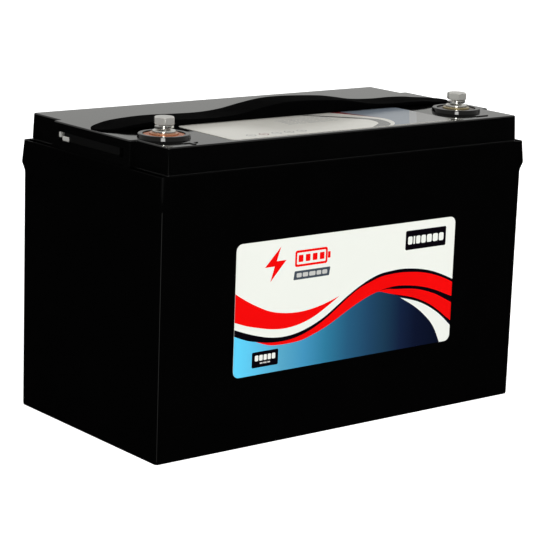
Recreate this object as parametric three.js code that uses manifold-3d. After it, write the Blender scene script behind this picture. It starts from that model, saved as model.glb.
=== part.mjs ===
// Deep cycle battery: a moulded case and lid around four flat cells, with two bolted terminals and
// a strap handle. Millimetres. +X along the length, from the positive end to the negative end;
// -Y is the labelled front; +Z is up. The origin is the centre of the underside.
import * as THREE from 'three';
import { mergeVertices } from 'three/addons/utils/BufferGeometryUtils.js';
import Module from 'manifold-3d';

const wasm = await Module();
wasm.setup();

// ---- driving dimensions ----
const ROUND_STEPS = 24;          // sides of a visible round part
const CORNER_STEPS = 4;          // facets in the quarter circle of a case corner
const FIT = 0.1;                 // gap between two parts pushed together
const CLEAR = 0.3;               // gap around a part that moves or is cut by its neighbour

const BODY_LENGTH = 328.5;
const BODY_WIDTH = 170;
const RIM_LENGTH = 331.5;
const RIM_WIDTH = 173.5;
const RIM_DRAFT = 2.4;           // the rim is this much smaller at its top edge
const BODY_TOP_Z = 174;
const RIM_LOW_Z = 180;
const RIM_TOP_Z = 196;
const RIM_LIP = 1;               // thickness of the rim outside the groove that the lid stands in
const LIP_EDGE = 0.3;            // what its inner chamfer leaves flat
const GROOVE_DEPTH = 2.5;
const CORNER_R = 2.5;
const WALL = 3;
const FLOOR = 3.5;
const SHOULDER_Z = [166, 176];   // the wall leans in between these heights to carry the lid
const OPENING_R = 2;
const OPENING_LENGTH = 308;
const OPENING_WIDTH = 162;

const SEAL_THICK = 0.8;
const LID_LENGTH = 318;
const LID_WIDTH = 167;
const LID_DRAFT = 1.8;
const LID_TOP_Z = 215;
const LID_PLATE = 3.5;
const LID_CAVITY_LENGTH = 297;
const LID_CAVITY_WIDTH = 158;
const TONGUE_DEPTH = 7;
const TONGUE_WALL = 2;
const END_BLOCK_X = 164.7;
const END_BLOCK_INNER_X = 140;
const END_BLOCK_WIDTH = 95;
const END_BLOCK_LOW_Z = 197;
const POCKET_HALF_Y = 40;        // the slot in each end face that the strap clip is pushed into
const POCKET_LOW_Z = 202.5;
const POCKET_HIGH_Z = 208.5;
const POCKET_BACK_X = 152;

const POSITIVE_X = -136;
const NEGATIVE_X = 131;
const TERMINAL_Y = -46.3;
const COLLAR_R = 18.2;
const COLLAR_HEIGHT = 2.8;
const WELL_R = 14.4;
const WELL_FLOOR_Z = 212;
const BOSS_R = 17;
const BOSS_LOW_Z = 205;
const INSERT_R = 10;
const INSERT_TOP_Z = 218.4;
const NECK_R = 8;
const NECK_LOW_Z = 200;
const STUD_R = 3.9;
const STUD_LOW_Z = 187;
const BORE_R = 4.3;
const BORE_LOW_Z = 203;
const FLAT_WASHER_R = 8;
const FLAT_WASHER_THICK = 1.6;
const SPRING_WASHER_R = 6.5;
const SPRING_WASHER_THICK = 2;
const SPRING_WASHER_HEIGHT = 3.8;
const SHANK_R = 3.9;
const SHANK_LENGTH = 20;
const HEX_FLATS = 13;
const HEAD_HEIGHT = 5.3;
const NUT_HEIGHT = 6.5;
const LUG_THICK = 2.5;
const MARK_SIZE = 12;
const MARK_BAR = 2.6;
const MARK_HEIGHT = 0.6;
const MARK_Y = -73;
const PLUS_X = -134;
const MINUS_X = 131.5;

const LABEL_X = -1;
const LABEL_LENGTH = 201;
const LABEL_THICK = 0.3;
const LABEL_CORNER_R = 5;
const FRONT_LABEL_LOW_Z = 51.2;
const FRONT_LABEL_HIGH_Z = 145;
const TOP_LABEL_FRONT_Y = -78;
const TOP_LABEL_BACK_Y = -12;

const STRAP_WIDTH = 29;
const STRAP_TIP_X = 162;
const STRAP_TIP_LENGTH = 22;     // length of the tapered round end
const STRAP_HINGE_X = 139.5;
const STRAP_GAP = 0.7;
const STRAP_LOW_Z = LID_TOP_Z + 0.6;
const GRIP_LEFT_X = -50;
const GRIP_RIGHT_X = 78;
const GRIP_HOLLOW_X = [-28, 56];   // the hollow under the grip that the fingers hook into
const GRIP_HOLLOW_Z = [LID_TOP_Z, LID_TOP_Z + 4.6];
const GRIP_HOLLOW_HALF_Y = 11;
const PEG_X = 156.8;
const PEG_LENGTH = 5;
const PEG_WIDTH = 11;
const CLIP_HALF_Y = 34;

const CELL_THICK = 49.5;
const CELL_WIDTH = 160;
const CELL_CAN_HEIGHT = 115.5;
const CELL_POST_HEIGHT = 3;
const CELL_POST_R = 7;
const CELL_POST_Y = 45;
const SPACER_THICK = 1.5;
const PAD_THICK = 3;
const PACK_Z = FLOOR + PAD_THICK;
const CAN_TOP_Z = PACK_Z + CELL_CAN_HEIGHT;
const POST_TOP_Z = CAN_TOP_Z + CELL_POST_HEIGHT;
const END_PLATE_THICK = 3;
const BAND_THICK = 0.6;
const BAND_HEIGHT = 12;
const BAND_Z = { lower: 26, upper: 88 };
const FOAM_GAP = 1.2;
const FOAM_END_X = 160;
const FOAM_HALF_Y = 76;
const FOAM_TOP_Z = 112;
const BASE_PAD_HALF_Y = 78;
const BUSBAR_WIDTH = 18;
const BUSBAR_THICK = 2;
const BUSBAR_HUMP_Z = 131;
const SHEET_THICK = 1.2;
const SHEET_TOP_Z = BUSBAR_HUMP_Z + SHEET_THICK;
const TRAY_Z = 140;
const TRAY_THICK = 1.5;
const BOARD_Z = 145;
const BOARD_THICK = 1.6;
const BOARD_TOP_Z = BOARD_Z + BOARD_THICK;
const CABLE_R = 4.2;
const WIRE_R = 1.5;

const CELL_PITCH = CELL_THICK + SPACER_THICK;
const PACK_HALF_LENGTH = 2 * CELL_PITCH - SPACER_THICK / 2;

// ---- colours: colour, roughness, metalness ----
const BLACK_PLASTIC = ['#0b0b0c', 0.25, 0];
const BLACK_RUBBER = ['#111112', 0.6, 0];
const RED_RESIN = ['#b8351f', 0.35, 0];
const BLACK_RESIN = ['#17110f', 0.35, 0];
const BRASS = ['#b08a4a', 0.3, 1];
const STEEL = ['#a9a8a0', 0.3, 1];
const COPPER = ['#b87048', 0.35, 1];
const ALUMINIUM = ['#b9bcc0', 0.4, 1];
const LABEL_WHITE = ['#e9ebe6', 0.2, 0];
const CELL_BLUE = ['#2457a0', 0.5, 0];
const FOAM = ['#3b3d40', 0.95, 0];
const FIBRE_SHEET = ['#c9c2a0', 0.8, 0];
const BOARD_GREEN = ['#14532d', 0.5, 0];
const CABLE_RED = ['#b3201c', 0.5, 0];
const CABLE_BLACK = ['#141414', 0.5, 0];
const WIRE_WHITE = ['#dddddd', 0.6, 0];

const battery = new THREE.Group();
battery.name = 'deep_cycle_battery';

function add(name, geometry, look) {
  const [color, roughness, metalness] = look;
  const material = new THREE.MeshStandardMaterial({ color, roughness, metalness });
  const mesh = new THREE.Mesh(geometry, material);
  mesh.name = name;
  battery.add(mesh);
}

// ---- joining and cutting ----
function toSolid(geometry) {
  const bare = geometry.clone();
  bare.deleteAttribute('normal');
  bare.deleteAttribute('uv');
  const welded = mergeVertices(bare);
  const mesh = new wasm.Mesh({
    numProp: 3,
    vertProperties: new Float32Array(welded.attributes.position.array),
    triVerts: new Uint32Array(welded.index.array),
  });
  return new wasm.Manifold(mesh);
}

function toGeometry(solid) {
  const mesh = solid.getMesh();
  const geometry = new THREE.BufferGeometry();
  geometry.setAttribute('position', new THREE.BufferAttribute(mesh.vertProperties, 3));
  geometry.setIndex(new THREE.BufferAttribute(mesh.triVerts, 1));
  geometry.computeVertexNormals();
  return geometry;
}

function join(...geometries) {
  return toGeometry(geometries.map(toSolid).reduce((whole, piece) => whole.add(piece)));
}

function cut(geometry, ...tools) {
  return toGeometry(tools.map(toSolid).reduce((whole, tool) => whole.subtract(tool), toSolid(geometry)));
}

function overlap(a, b) {
  return toGeometry(toSolid(a).intersect(toSolid(b)));
}

// ---- basic shapes ----
function box(x, y, z) {
  const geometry = new THREE.BoxGeometry(x[1] - x[0], y[1] - y[0], z[1] - z[0]);
  geometry.translate((x[0] + x[1]) / 2, (y[0] + y[1]) / 2, (z[0] + z[1]) / 2);
  return geometry;
}

function roundedOutline(length, width, radius) {
  const points = [];
  const corners = [[1, 1], [-1, 1], [-1, -1], [1, -1]];
  corners.forEach(([signX, signY], quarter) => {
    const centreX = signX * (length / 2 - radius);
    const centreY = signY * (width / 2 - radius);
    for (let step = 0; step <= CORNER_STEPS; step += 1) {
      const angle = (quarter + step / CORNER_STEPS) * Math.PI / 2;
      points.push([centreX + radius * Math.cos(angle), centreY + radius * Math.sin(angle)]);
    }
  });
  return points;
}

// A closed solid through a stack of rounded rectangles, each [z, length, width, corner radius].
function loft(levels, centreX = 0) {
  const rings = levels.map(([, length, width, radius]) => roundedOutline(length, width, radius));
  const count = rings[0].length;
  const positions = [];
  rings.forEach((ring, level) => {
    ring.forEach(([x, y]) => positions.push(x + centreX, y, levels[level][0]));
  });
  const index = [];
  for (let level = 0; level < rings.length - 1; level += 1) {
    for (let i = 0; i < count; i += 1) {
      const a = level * count + i;
      const b = level * count + (i + 1) % count;
      index.push(a, b, b + count, a, b + count, a + count);
    }
  }
  const top = (rings.length - 1) * count;
  for (let i = 1; i < count - 1; i += 1) {
    index.push(0, i + 1, i);
    index.push(top, top + i, top + i + 1);
  }
  const geometry = new THREE.BufferGeometry();
  geometry.setAttribute('position', new THREE.Float32BufferAttribute(positions, 3));
  geometry.setIndex(index);
  geometry.computeVertexNormals();
  return geometry;
}

// A solid turned about a vertical axis at (x, y). The profile is [radius, z] pairs that run up the
// outside; a profile that does not touch the axis is closed by repeating its first point.
function turned(x, y, profile, steps = ROUND_STEPS) {
  const closed = profile[0][0] === 0 ? profile : [...profile, profile[0]];
  const geometry = new THREE.LatheGeometry(closed.map(([r, z]) => new THREE.Vector2(r, z)), steps);
  geometry.rotateX(Math.PI / 2);
  geometry.translate(x, y, 0);
  return geometry;
}

function cylinder(x, y, radius, z, steps = ROUND_STEPS) {
  return turned(x, y, [[0, z[0]], [radius, z[0]], [radius, z[1]], [0, z[1]]], steps);
}

function ring(x, y, inner, outer, z, steps = ROUND_STEPS) {
  return turned(x, y, [[inner, z[0]], [outer, z[0]], [outer, z[1]], [inner, z[1]]], steps);
}

function hexPrism(x, y, flats, z) {
  const sides = 6;
  const corner = flats / Math.sqrt(3);
  const shape = new THREE.Shape();
  for (let i = 0; i < sides; i += 1) {
    const angle = i * 2 * Math.PI / sides;
    const point = [corner * Math.cos(angle), corner * Math.sin(angle)];
    if (i === 0) shape.moveTo(...point);
    else shape.lineTo(...point);
  }
  const geometry = new THREE.ExtrudeGeometry(shape, { depth: z[1] - z[0], bevelEnabled: false });
  geometry.translate(x, y, z[0]);
  return geometry;
}

// A side view outline, [x, z] pairs, given thickness across Y.
function profileAcross(points, y) {
  const shape = new THREE.Shape(points.map(([x, z]) => new THREE.Vector2(x, z)));
  const geometry = new THREE.ExtrudeGeometry(shape, { depth: y[1] - y[0], bevelEnabled: false });
  geometry.rotateX(Math.PI / 2);
  geometry.translate(0, y[1], 0);
  return geometry;
}

// An end view outline, [y, z] pairs, given length along X.
function profileAlong(points, x) {
  const shape = new THREE.Shape(points.map(([y, z]) => new THREE.Vector2(y, z)));
  const geometry = new THREE.ExtrudeGeometry(shape, { depth: x[1] - x[0], bevelEnabled: false });
  geometry.rotateX(Math.PI / 2);
  geometry.rotateZ(Math.PI / 2);
  geometry.translate(x[0], 0, 0);
  return geometry;
}

function roundWire(points, radius, steps) {
  const sides = 8;
  const path = new THREE.CatmullRomCurve3(points.map(([x, y, z]) => new THREE.Vector3(x, y, z)));
  const outline = new THREE.Shape();
  for (let i = 0; i < sides; i += 1) {
    const angle = i * 2 * Math.PI / sides;
    const point = [radius * Math.cos(angle), radius * Math.sin(angle)];
    if (i === 0) outline.moveTo(...point);
    else outline.lineTo(...point);
  }
  return new THREE.ExtrudeGeometry(outline, { extrudePath: path, steps, bevelEnabled: false });
}

// ---- case, seal and lid ----
function addContainer() {
  const edge = 1.8;
  const outside = loft([
    [0, BODY_LENGTH - 2 * edge, BODY_WIDTH - 2 * edge, CORNER_R - edge],
    [edge * 0.3, BODY_LENGTH - 0.6 * edge, BODY_WIDTH - 0.6 * edge, CORNER_R - edge * 0.3],
    [edge, BODY_LENGTH, BODY_WIDTH, CORNER_R],
    [BODY_TOP_Z, BODY_LENGTH, BODY_WIDTH, CORNER_R],
    [RIM_LOW_Z, RIM_LENGTH, RIM_WIDTH, CORNER_R],
    [RIM_TOP_Z, RIM_LENGTH - RIM_DRAFT, RIM_WIDTH - RIM_DRAFT, CORNER_R],
  ]);
  const inside = loft([
    [FLOOR, BODY_LENGTH - 2 * WALL, BODY_WIDTH - 2 * WALL, OPENING_R],
    [SHOULDER_Z[0], BODY_LENGTH - 2 * WALL, BODY_WIDTH - 2 * WALL, OPENING_R],
    [SHOULDER_Z[1], OPENING_LENGTH, OPENING_WIDTH, OPENING_R],
    [RIM_TOP_Z + 1, OPENING_LENGTH, OPENING_WIDTH, OPENING_R],
  ]);
  const grooveLength = RIM_LENGTH - RIM_DRAFT - 2 * RIM_LIP;
  const grooveWidth = RIM_WIDTH - RIM_DRAFT - 2 * RIM_LIP;
  const chamfer = RIM_LIP - LIP_EDGE;
  const grooveOutside = loft([
    [RIM_TOP_Z - GROOVE_DEPTH, grooveLength, grooveWidth, CORNER_R - 0.5],
    [RIM_TOP_Z - chamfer, grooveLength, grooveWidth, CORNER_R - 0.5],
    [RIM_TOP_Z, grooveLength + 2 * chamfer, grooveWidth + 2 * chamfer, CORNER_R - 0.2],
    [RIM_TOP_Z + 1, grooveLength + 2 * chamfer, grooveWidth + 2 * chamfer, CORNER_R - 0.2],
  ]);
  const grooveInside = loft([
    [RIM_TOP_Z - GROOVE_DEPTH - 1, LID_LENGTH, LID_WIDTH, CORNER_R],
    [RIM_TOP_Z + 2, LID_LENGTH, LID_WIDTH, CORNER_R],
  ]);
  add('container', cut(outside, inside, cut(grooveOutside, grooveInside)), BLACK_PLASTIC);
}

function addLidSeal() {
  const inset = 0.6;
  const outside = loft([
    [RIM_TOP_Z, LID_LENGTH - inset, LID_WIDTH - inset, CORNER_R],
    [RIM_TOP_Z + SEAL_THICK, LID_LENGTH - inset, LID_WIDTH - inset, CORNER_R],
  ]);
  const inside = loft([
    [RIM_TOP_Z - 1, OPENING_LENGTH, OPENING_WIDTH, OPENING_R],
    [RIM_TOP_Z + 2, OPENING_LENGTH, OPENING_WIDTH, OPENING_R],
  ]);
  add('lid_seal', cut(outside, inside), BLACK_RUBBER);
}

function endBlock(side) {
  const length = END_BLOCK_X - END_BLOCK_INNER_X;
  const edge = 0.6;
  const levels = [
    [END_BLOCK_LOW_Z, length, END_BLOCK_WIDTH, 1],
    [LID_TOP_Z - edge, length, END_BLOCK_WIDTH, 1],
    [LID_TOP_Z, length - 2 * edge, END_BLOCK_WIDTH - 2 * edge, 1],
  ];
  return loft(levels, side * (END_BLOCK_X + END_BLOCK_INNER_X) / 2);
}

function terminalX(side) {
  return side < 0 ? POSITIVE_X : NEGATIVE_X;
}

function spanX(side, nearX, farX) {
  return side > 0 ? [nearX, farX] : [-farX, -nearX];
}

function polarityMarks() {
  const z = [LID_TOP_Z - 0.5, LID_TOP_Z + MARK_HEIGHT];
  const barY = [MARK_Y - MARK_BAR / 2, MARK_Y + MARK_BAR / 2];
  const bar = (x) => box([x - MARK_SIZE / 2, x + MARK_SIZE / 2], barY, z);
  const upright = box(
    [PLUS_X - MARK_BAR / 2, PLUS_X + MARK_BAR / 2],
    [MARK_Y - MARK_SIZE / 2, MARK_Y + MARK_SIZE / 2],
    z,
  );
  return [bar(PLUS_X), upright, bar(MINUS_X)];
}

function addLid() {
  const baseZ = RIM_TOP_Z + SEAL_THICK;
  const plateLowZ = LID_TOP_Z - LID_PLATE;
  const skirt = loft([
    [baseZ, LID_LENGTH, LID_WIDTH, CORNER_R],
    [LID_TOP_Z - 1.2, LID_LENGTH - LID_DRAFT, LID_WIDTH - LID_DRAFT, CORNER_R - 0.6],
    [LID_TOP_Z - 0.4, LID_LENGTH - LID_DRAFT - 0.8, LID_WIDTH - LID_DRAFT - 0.8, CORNER_R - 1],
    [LID_TOP_Z, LID_LENGTH - LID_DRAFT - 2, LID_WIDTH - LID_DRAFT - 2, CORNER_R - 1.5],
  ]);
  const tongueLength = OPENING_LENGTH - 2 * CLEAR;
  const tongueWidth = OPENING_WIDTH - 2 * CLEAR;
  const innerLength = tongueLength - 2 * TONGUE_WALL;
  const innerWidth = tongueWidth - 2 * TONGUE_WALL;
  const tongue = loft([
    [baseZ - TONGUE_DEPTH, tongueLength, tongueWidth, OPENING_R],
    [baseZ + 1, tongueLength, tongueWidth, OPENING_R],
  ]);
  const cavity = loft([
    [baseZ - TONGUE_DEPTH - 1, innerLength, innerWidth, OPENING_R],
    [baseZ + 1, innerLength, innerWidth, OPENING_R],
    [baseZ + 4, LID_CAVITY_LENGTH, LID_CAVITY_WIDTH, OPENING_R],
    [plateLowZ, LID_CAVITY_LENGTH, LID_CAVITY_WIDTH, OPENING_R],
  ]);
  const shell = cut(join(skirt, tongue, endBlock(-1), endBlock(1)), cavity);
  const bosses = [];
  const cuts = [];
  [-1, 1].forEach((side) => {
    const x = terminalX(side);
    bosses.push(cylinder(x, TERMINAL_Y, BOSS_R, [BOSS_LOW_Z, WELL_FLOOR_Z + 1]));
    cuts.push(cylinder(x, TERMINAL_Y, WELL_R, [WELL_FLOOR_Z, LID_TOP_Z + 1]));
    cuts.push(cylinder(x, TERMINAL_Y, NECK_R + FIT, [BOSS_LOW_Z - 1, WELL_FLOOR_Z + 1]));
    cuts.push(box(
      spanX(side, POCKET_BACK_X, END_BLOCK_X + 5),
      [-POCKET_HALF_Y, POCKET_HALF_Y],
      [POCKET_LOW_Z, POCKET_HIGH_Z],
    ));
    cuts.push(box(
      spanX(side, PEG_X - PEG_LENGTH / 2 - CLEAR, PEG_X + PEG_LENGTH / 2 + CLEAR),
      [-PEG_WIDTH / 2 - CLEAR, PEG_WIDTH / 2 + CLEAR],
      [POCKET_HIGH_Z - 1, LID_TOP_Z + 1],
    ));
  });
  add('lid', cut(join(shell, ...bosses, ...polarityMarks()), ...cuts), BLACK_PLASTIC);
}

// ---- terminals ----
function hexHead(x, y, z) {
  const chamfer = 0.9;
  const corner = HEX_FLATS / Math.sqrt(3);
  const topR = HEX_FLATS / 2 - 0.2;
  const round = turned(x, y, [
    [0, z[0]],
    [corner + 0.1, z[0]],
    [corner + 0.1, z[1] - chamfer],
    [topR, z[1]],
    [0, z[1]],
  ]);
  return overlap(hexPrism(x, y, HEX_FLATS, z), round);
}

// A split ring whose two ends stand apart in height, as a spring washer does before it is flattened.
function springWasher(x, y, z0) {
  const inner = SHANK_R + 0.4;
  const steps = 28;
  const gap = 0.2;
  const rise = SPRING_WASHER_HEIGHT - SPRING_WASHER_THICK;
  const positions = [];
  for (let i = 0; i <= steps; i += 1) {
    const angle = gap / 2 + (2 * Math.PI - gap) * i / steps;
    const low = z0 + rise * i / steps;
    const section = [
      [inner, low],
      [SPRING_WASHER_R, low],
      [SPRING_WASHER_R, low + SPRING_WASHER_THICK],
      [inner, low + SPRING_WASHER_THICK],
    ];
    section.forEach(([r, z]) => positions.push(x + r * Math.cos(angle), y + r * Math.sin(angle), z));
  }
  const index = [];
  for (let i = 0; i < steps; i += 1) {
    for (let k = 0; k < 4; k += 1) {
      const a = 4 * i + k;
      const b = 4 * i + (k + 1) % 4;
      index.push(a, b + 4, b, a, a + 4, b + 4);
    }
  }
  const last = 4 * steps;
  index.push(0, 1, 2, 0, 2, 3);
  index.push(last, last + 2, last + 1, last, last + 3, last + 2);
  const geometry = new THREE.BufferGeometry();
  geometry.setAttribute('position', new THREE.Float32BufferAttribute(positions, 3));
  geometry.setIndex(index);
  geometry.computeVertexNormals();
  return geometry;
}

function addTerminal(prefix, side, resin) {
  const x = terminalX(side);
  const y = TERMINAL_Y;
  const collarTopZ = LID_TOP_Z + COLLAR_HEIGHT;
  const edge = 0.4;
  const collar = turned(x, y, [
    [WELL_R, LID_TOP_Z],
    [COLLAR_R, LID_TOP_Z],
    [COLLAR_R, collarTopZ - edge],
    [COLLAR_R - edge, collarTopZ],
    [WELL_R, collarTopZ],
  ], 40);
  add(`${prefix}_collar`, collar, BLACK_PLASTIC);
  add(
    `${prefix}_seal_ring`,
    ring(x, y, INSERT_R + FIT, WELL_R - FIT, [WELL_FLOOR_Z, collarTopZ - edge]),
    resin,
  );
  const insert = turned(x, y, [
    [0, STUD_LOW_Z],
    [STUD_R, STUD_LOW_Z],
    [STUD_R, NECK_LOW_Z],
    [NECK_R, NECK_LOW_Z],
    [NECK_R, WELL_FLOOR_Z],
    [INSERT_R, WELL_FLOOR_Z],
    [INSERT_R, INSERT_TOP_Z - edge],
    [INSERT_R - edge, INSERT_TOP_Z],
    [FLAT_WASHER_R + FIT, INSERT_TOP_Z],
    [BORE_R, INSERT_TOP_Z],
    [BORE_R, BORE_LOW_Z],
    [0, BORE_LOW_Z],
  ]);
  add(`${prefix}_insert`, insert, BRASS);

  const nutTopZ = NECK_LOW_Z - LUG_THICK;
  const nut = hexPrism(x, y, HEX_FLATS, [nutTopZ - NUT_HEIGHT, nutTopZ]);
  const nutHole = cylinder(x, y, STUD_R + FIT, [nutTopZ - NUT_HEIGHT - 1, nutTopZ + 1]);
  add(`${prefix}_lug_nut`, cut(nut, nutHole), STEEL);

  const springZ = INSERT_TOP_Z + FLAT_WASHER_THICK;
  const headZ = springZ + SPRING_WASHER_HEIGHT;
  add(`${prefix}_flat_washer`, ring(x, y, SHANK_R + 0.4, FLAT_WASHER_R, [INSERT_TOP_Z, springZ]), STEEL);
  add(`${prefix}_spring_washer`, springWasher(x, y, springZ), STEEL);
  const shank = turned(x, y, [
    [0, headZ - SHANK_LENGTH],
    [SHANK_R - 0.8, headZ - SHANK_LENGTH],
    [SHANK_R, headZ - SHANK_LENGTH + 0.8],
    [SHANK_R, headZ + 1],
    [0, headZ + 1],
  ]);
  add(`${prefix}_bolt`, join(hexHead(x, y, [headZ, headZ + HEAD_HEIGHT]), shank), STEEL);
}

// ---- labels ----
function labelShape(width) {
  const points = roundedOutline(LABEL_LENGTH, width, LABEL_CORNER_R);
  return new THREE.Shape(points.map(([x, y]) => new THREE.Vector2(x, y)));
}

function addLabels() {
  const frontHeight = FRONT_LABEL_HIGH_Z - FRONT_LABEL_LOW_Z;
  const options = { depth: LABEL_THICK, bevelEnabled: false };
  const front = new THREE.ExtrudeGeometry(labelShape(frontHeight), options);
  front.rotateX(Math.PI / 2);
  front.translate(LABEL_X, -BODY_WIDTH / 2, (FRONT_LABEL_LOW_Z + FRONT_LABEL_HIGH_Z) / 2);
  add('front_label', front, LABEL_WHITE);
  const top = new THREE.ExtrudeGeometry(labelShape(TOP_LABEL_BACK_Y - TOP_LABEL_FRONT_Y), options);
  top.translate(LABEL_X, (TOP_LABEL_BACK_Y + TOP_LABEL_FRONT_Y) / 2, LID_TOP_Z);
  add('top_label', top, LABEL_WHITE);
}

// ---- strap handle ----
// Top line of the strap seen from the front, as [x, height above the lid]: thin at the ends, thick
// and arched in the grip.
const STRAP_TOP = [
  [-162, 0.8], [-152, 1.7], [-142, 3.2], [-131, 4.2], [-119, 4.8], [-106, 5.0], [-89, 4.3],
  [-63, 4.0], [-45, 5.4], [-28, 8.2], [-14, 10.3], [0, 11.0], [23, 10.5], [47, 9.1], [61, 7.2],
  [76, 4.8], [101, 3.4], [116, 3.6], [131, 3.0], [142, 1.9], [162, 0.8],
];

function strapTopZ(x) {
  const next = STRAP_TOP.findIndex(([px]) => px >= x);
  if (next === 0) return LID_TOP_Z + STRAP_TOP[0][1];
  const [x0, height0] = STRAP_TOP[next - 1];
  const [x1, height1] = STRAP_TOP[next];
  return LID_TOP_Z + height0 + (height1 - height0) * (x - x0) / (x1 - x0);
}

// A length of the strap between two places along it, with a flat underside.
function strapPiece(fromX, toX, lowZ) {
  const places = STRAP_TOP.map(([x]) => x).filter((x) => x > fromX && x < toX);
  const top = [toX, ...places.reverse(), fromX].map((x) => [x, strapTopZ(x)]);
  return profileAcross([[fromX, lowZ], [toX, lowZ], ...top], [-STRAP_WIDTH / 2, STRAP_WIDTH / 2]);
}

function strapEnd(side) {
  const innerX = STRAP_HINGE_X + STRAP_GAP;
  const halfWidth = STRAP_WIDTH / 2;
  const [x0, x1] = spanX(side, innerX, STRAP_TIP_X);
  const slab = strapPiece(x0, x1, LID_TOP_Z);
  const keepZ = [LID_TOP_Z - 1, LID_TOP_Z + 6];
  const taperX = STRAP_TIP_X - STRAP_TIP_LENGTH;
  const taper = cylinder(0, 0, halfWidth, keepZ);
  taper.scale(STRAP_TIP_LENGTH / halfWidth, 1, 1);
  taper.translate(side * taperX, 0, 0);
  const keep = join(taper, box(spanX(side, innerX - 2, taperX), [-halfWidth, halfWidth], keepZ));
  const peg = box(
    spanX(side, PEG_X - PEG_LENGTH / 2, PEG_X + PEG_LENGTH / 2),
    [-PEG_WIDTH / 2, PEG_WIDTH / 2],
    [POCKET_LOW_Z + 1, LID_TOP_Z + 0.5],
  );
  return join(overlap(slab, keep), peg);
}

function strapClip(side) {
  const faceX = END_BLOCK_X - 1.5;
  const block = box(
    spanX(side, POCKET_BACK_X + FIT, faceX),
    [-CLIP_HALF_Y, CLIP_HALF_Y],
    [POCKET_LOW_Z + FIT, POCKET_HIGH_Z - FIT],
  );
  const slot = box(
    spanX(side, PEG_X - PEG_LENGTH / 2 - FIT, PEG_X + PEG_LENGTH / 2 + FIT),
    [-PEG_WIDTH / 2 - FIT, PEG_WIDTH / 2 + FIT],
    [POCKET_LOW_Z + 0.7, POCKET_HIGH_Z + 1],
  );
  return cut(block, slot);
}

function addHandle() {
  const legEnd = 0.5;
  add('strap_left', strapPiece(-STRAP_HINGE_X, GRIP_LEFT_X - legEnd, STRAP_LOW_Z), BLACK_RUBBER);
  add('strap_right', strapPiece(GRIP_RIGHT_X + legEnd, STRAP_HINGE_X, STRAP_LOW_Z), BLACK_RUBBER);
  const hollow = box(GRIP_HOLLOW_X, [-GRIP_HOLLOW_HALF_Y, GRIP_HOLLOW_HALF_Y], GRIP_HOLLOW_Z);
  const grip = strapPiece(GRIP_LEFT_X, GRIP_RIGHT_X, STRAP_LOW_Z);
  add('handle_grip', cut(grip, hollow), BLACK_RUBBER);
  add('strap_end_left', strapEnd(-1), BLACK_RUBBER);
  add('strap_end_right', strapEnd(1), BLACK_RUBBER);
  add('strap_clip_left', strapClip(-1), BLACK_PLASTIC);
  add('strap_clip_right', strapClip(1), BLACK_PLASTIC);
}

// ---- cell pack ----
function cellX(i) {
  return (i - 2.5) * CELL_PITCH;
}

function addCells() {
  for (let i = 1; i <= 4; i += 1) {
    const x = cellX(i);
    const can = loft([
      [PACK_Z, CELL_THICK, CELL_WIDTH, 3],
      [CAN_TOP_Z, CELL_THICK, CELL_WIDTH, 3],
    ], x);
    const posts = [-CELL_POST_Y, CELL_POST_Y].map((y) => (
      cylinder(x, y, CELL_POST_R, [CAN_TOP_Z - 1, POST_TOP_Z], 24)
    ));
    add(`cell_${i}`, join(can, ...posts), CELL_BLUE);
  }
  const sheetHalfY = CELL_WIDTH / 2 - 2;
  for (let i = 1; i <= 3; i += 1) {
    const x = (cellX(i) + cellX(i + 1)) / 2;
    const sheet = box(
      [x - SPACER_THICK / 2, x + SPACER_THICK / 2],
      [-sheetHalfY, sheetHalfY],
      [PACK_Z, CAN_TOP_Z - 2],
    );
    add(`cell_spacer_${i}`, sheet, FIBRE_SHEET);
  }
}

function addPackFrame() {
  const plateX = PACK_HALF_LENGTH + END_PLATE_THICK;
  const halfY = CELL_WIDTH / 2;
  [['left', -1], ['right', 1]].forEach(([name, side]) => {
    const plate = box(
      spanX(side, PACK_HALF_LENGTH, plateX),
      [-halfY + 1, halfY - 1],
      [PACK_Z, CAN_TOP_Z - 4],
    );
    add(`end_plate_${name}`, plate, ALUMINIUM);
    const foamX = spanX(side, plateX + FOAM_GAP, FOAM_END_X);
    const foam = box(foamX, [-FOAM_HALF_Y, FOAM_HALF_Y], [PACK_Z, FOAM_TOP_Z]);
    add(`end_foam_${name}`, foam, FOAM);
  });
  Object.entries(BAND_Z).forEach(([name, z]) => {
    const outer = box(
      [-plateX - BAND_THICK, plateX + BAND_THICK],
      [-halfY - BAND_THICK, halfY + BAND_THICK],
      [z, z + BAND_HEIGHT],
    );
    const inner = box([-plateX, plateX], [-halfY, halfY], [z - 1, z + BAND_HEIGHT + 1]);
    add(`pack_band_${name}`, cut(outer, inner), STEEL);
  });
  const padY = [-BASE_PAD_HALF_Y, BASE_PAD_HALF_Y];
  add('base_pad', box([-FOAM_END_X, FOAM_END_X], padY, [FLOOR, PACK_Z]), FOAM);
}

// A copper strip over two posts with a raised bend between them.
function addBusbar(name, i, side) {
  const z = POST_TOP_Z;
  const overhang = 9;
  const x0 = cellX(i) - overhang;
  const x1 = cellX(i + 1) + overhang;
  const mid = (x0 + x1) / 2;
  const bendHalf = 9;
  const slope = 3;
  const top = BUSBAR_HUMP_Z;
  const t = BUSBAR_THICK;
  const outline = [
    [x0, z], [mid - bendHalf, z], [mid - bendHalf + slope, top - t], [mid + bendHalf - slope, top - t],
    [mid + bendHalf, z], [x1, z], [x1, z + t], [mid + bendHalf + 1, z + t],
    [mid + bendHalf - slope + 1, top], [mid - bendHalf + slope - 1, top],
    [mid - bendHalf - 1, z + t], [x0, z + t],
  ];
  const y = side * CELL_POST_Y;
  add(name, profileAcross(outline, [y - BUSBAR_WIDTH / 2, y + BUSBAR_WIDTH / 2]), COPPER);
}

function addBusbars() {
  addBusbar('busbar_1_2', 1, 1);
  addBusbar('busbar_2_3', 2, -1);
  addBusbar('busbar_3_4', 3, 1);
}

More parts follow.
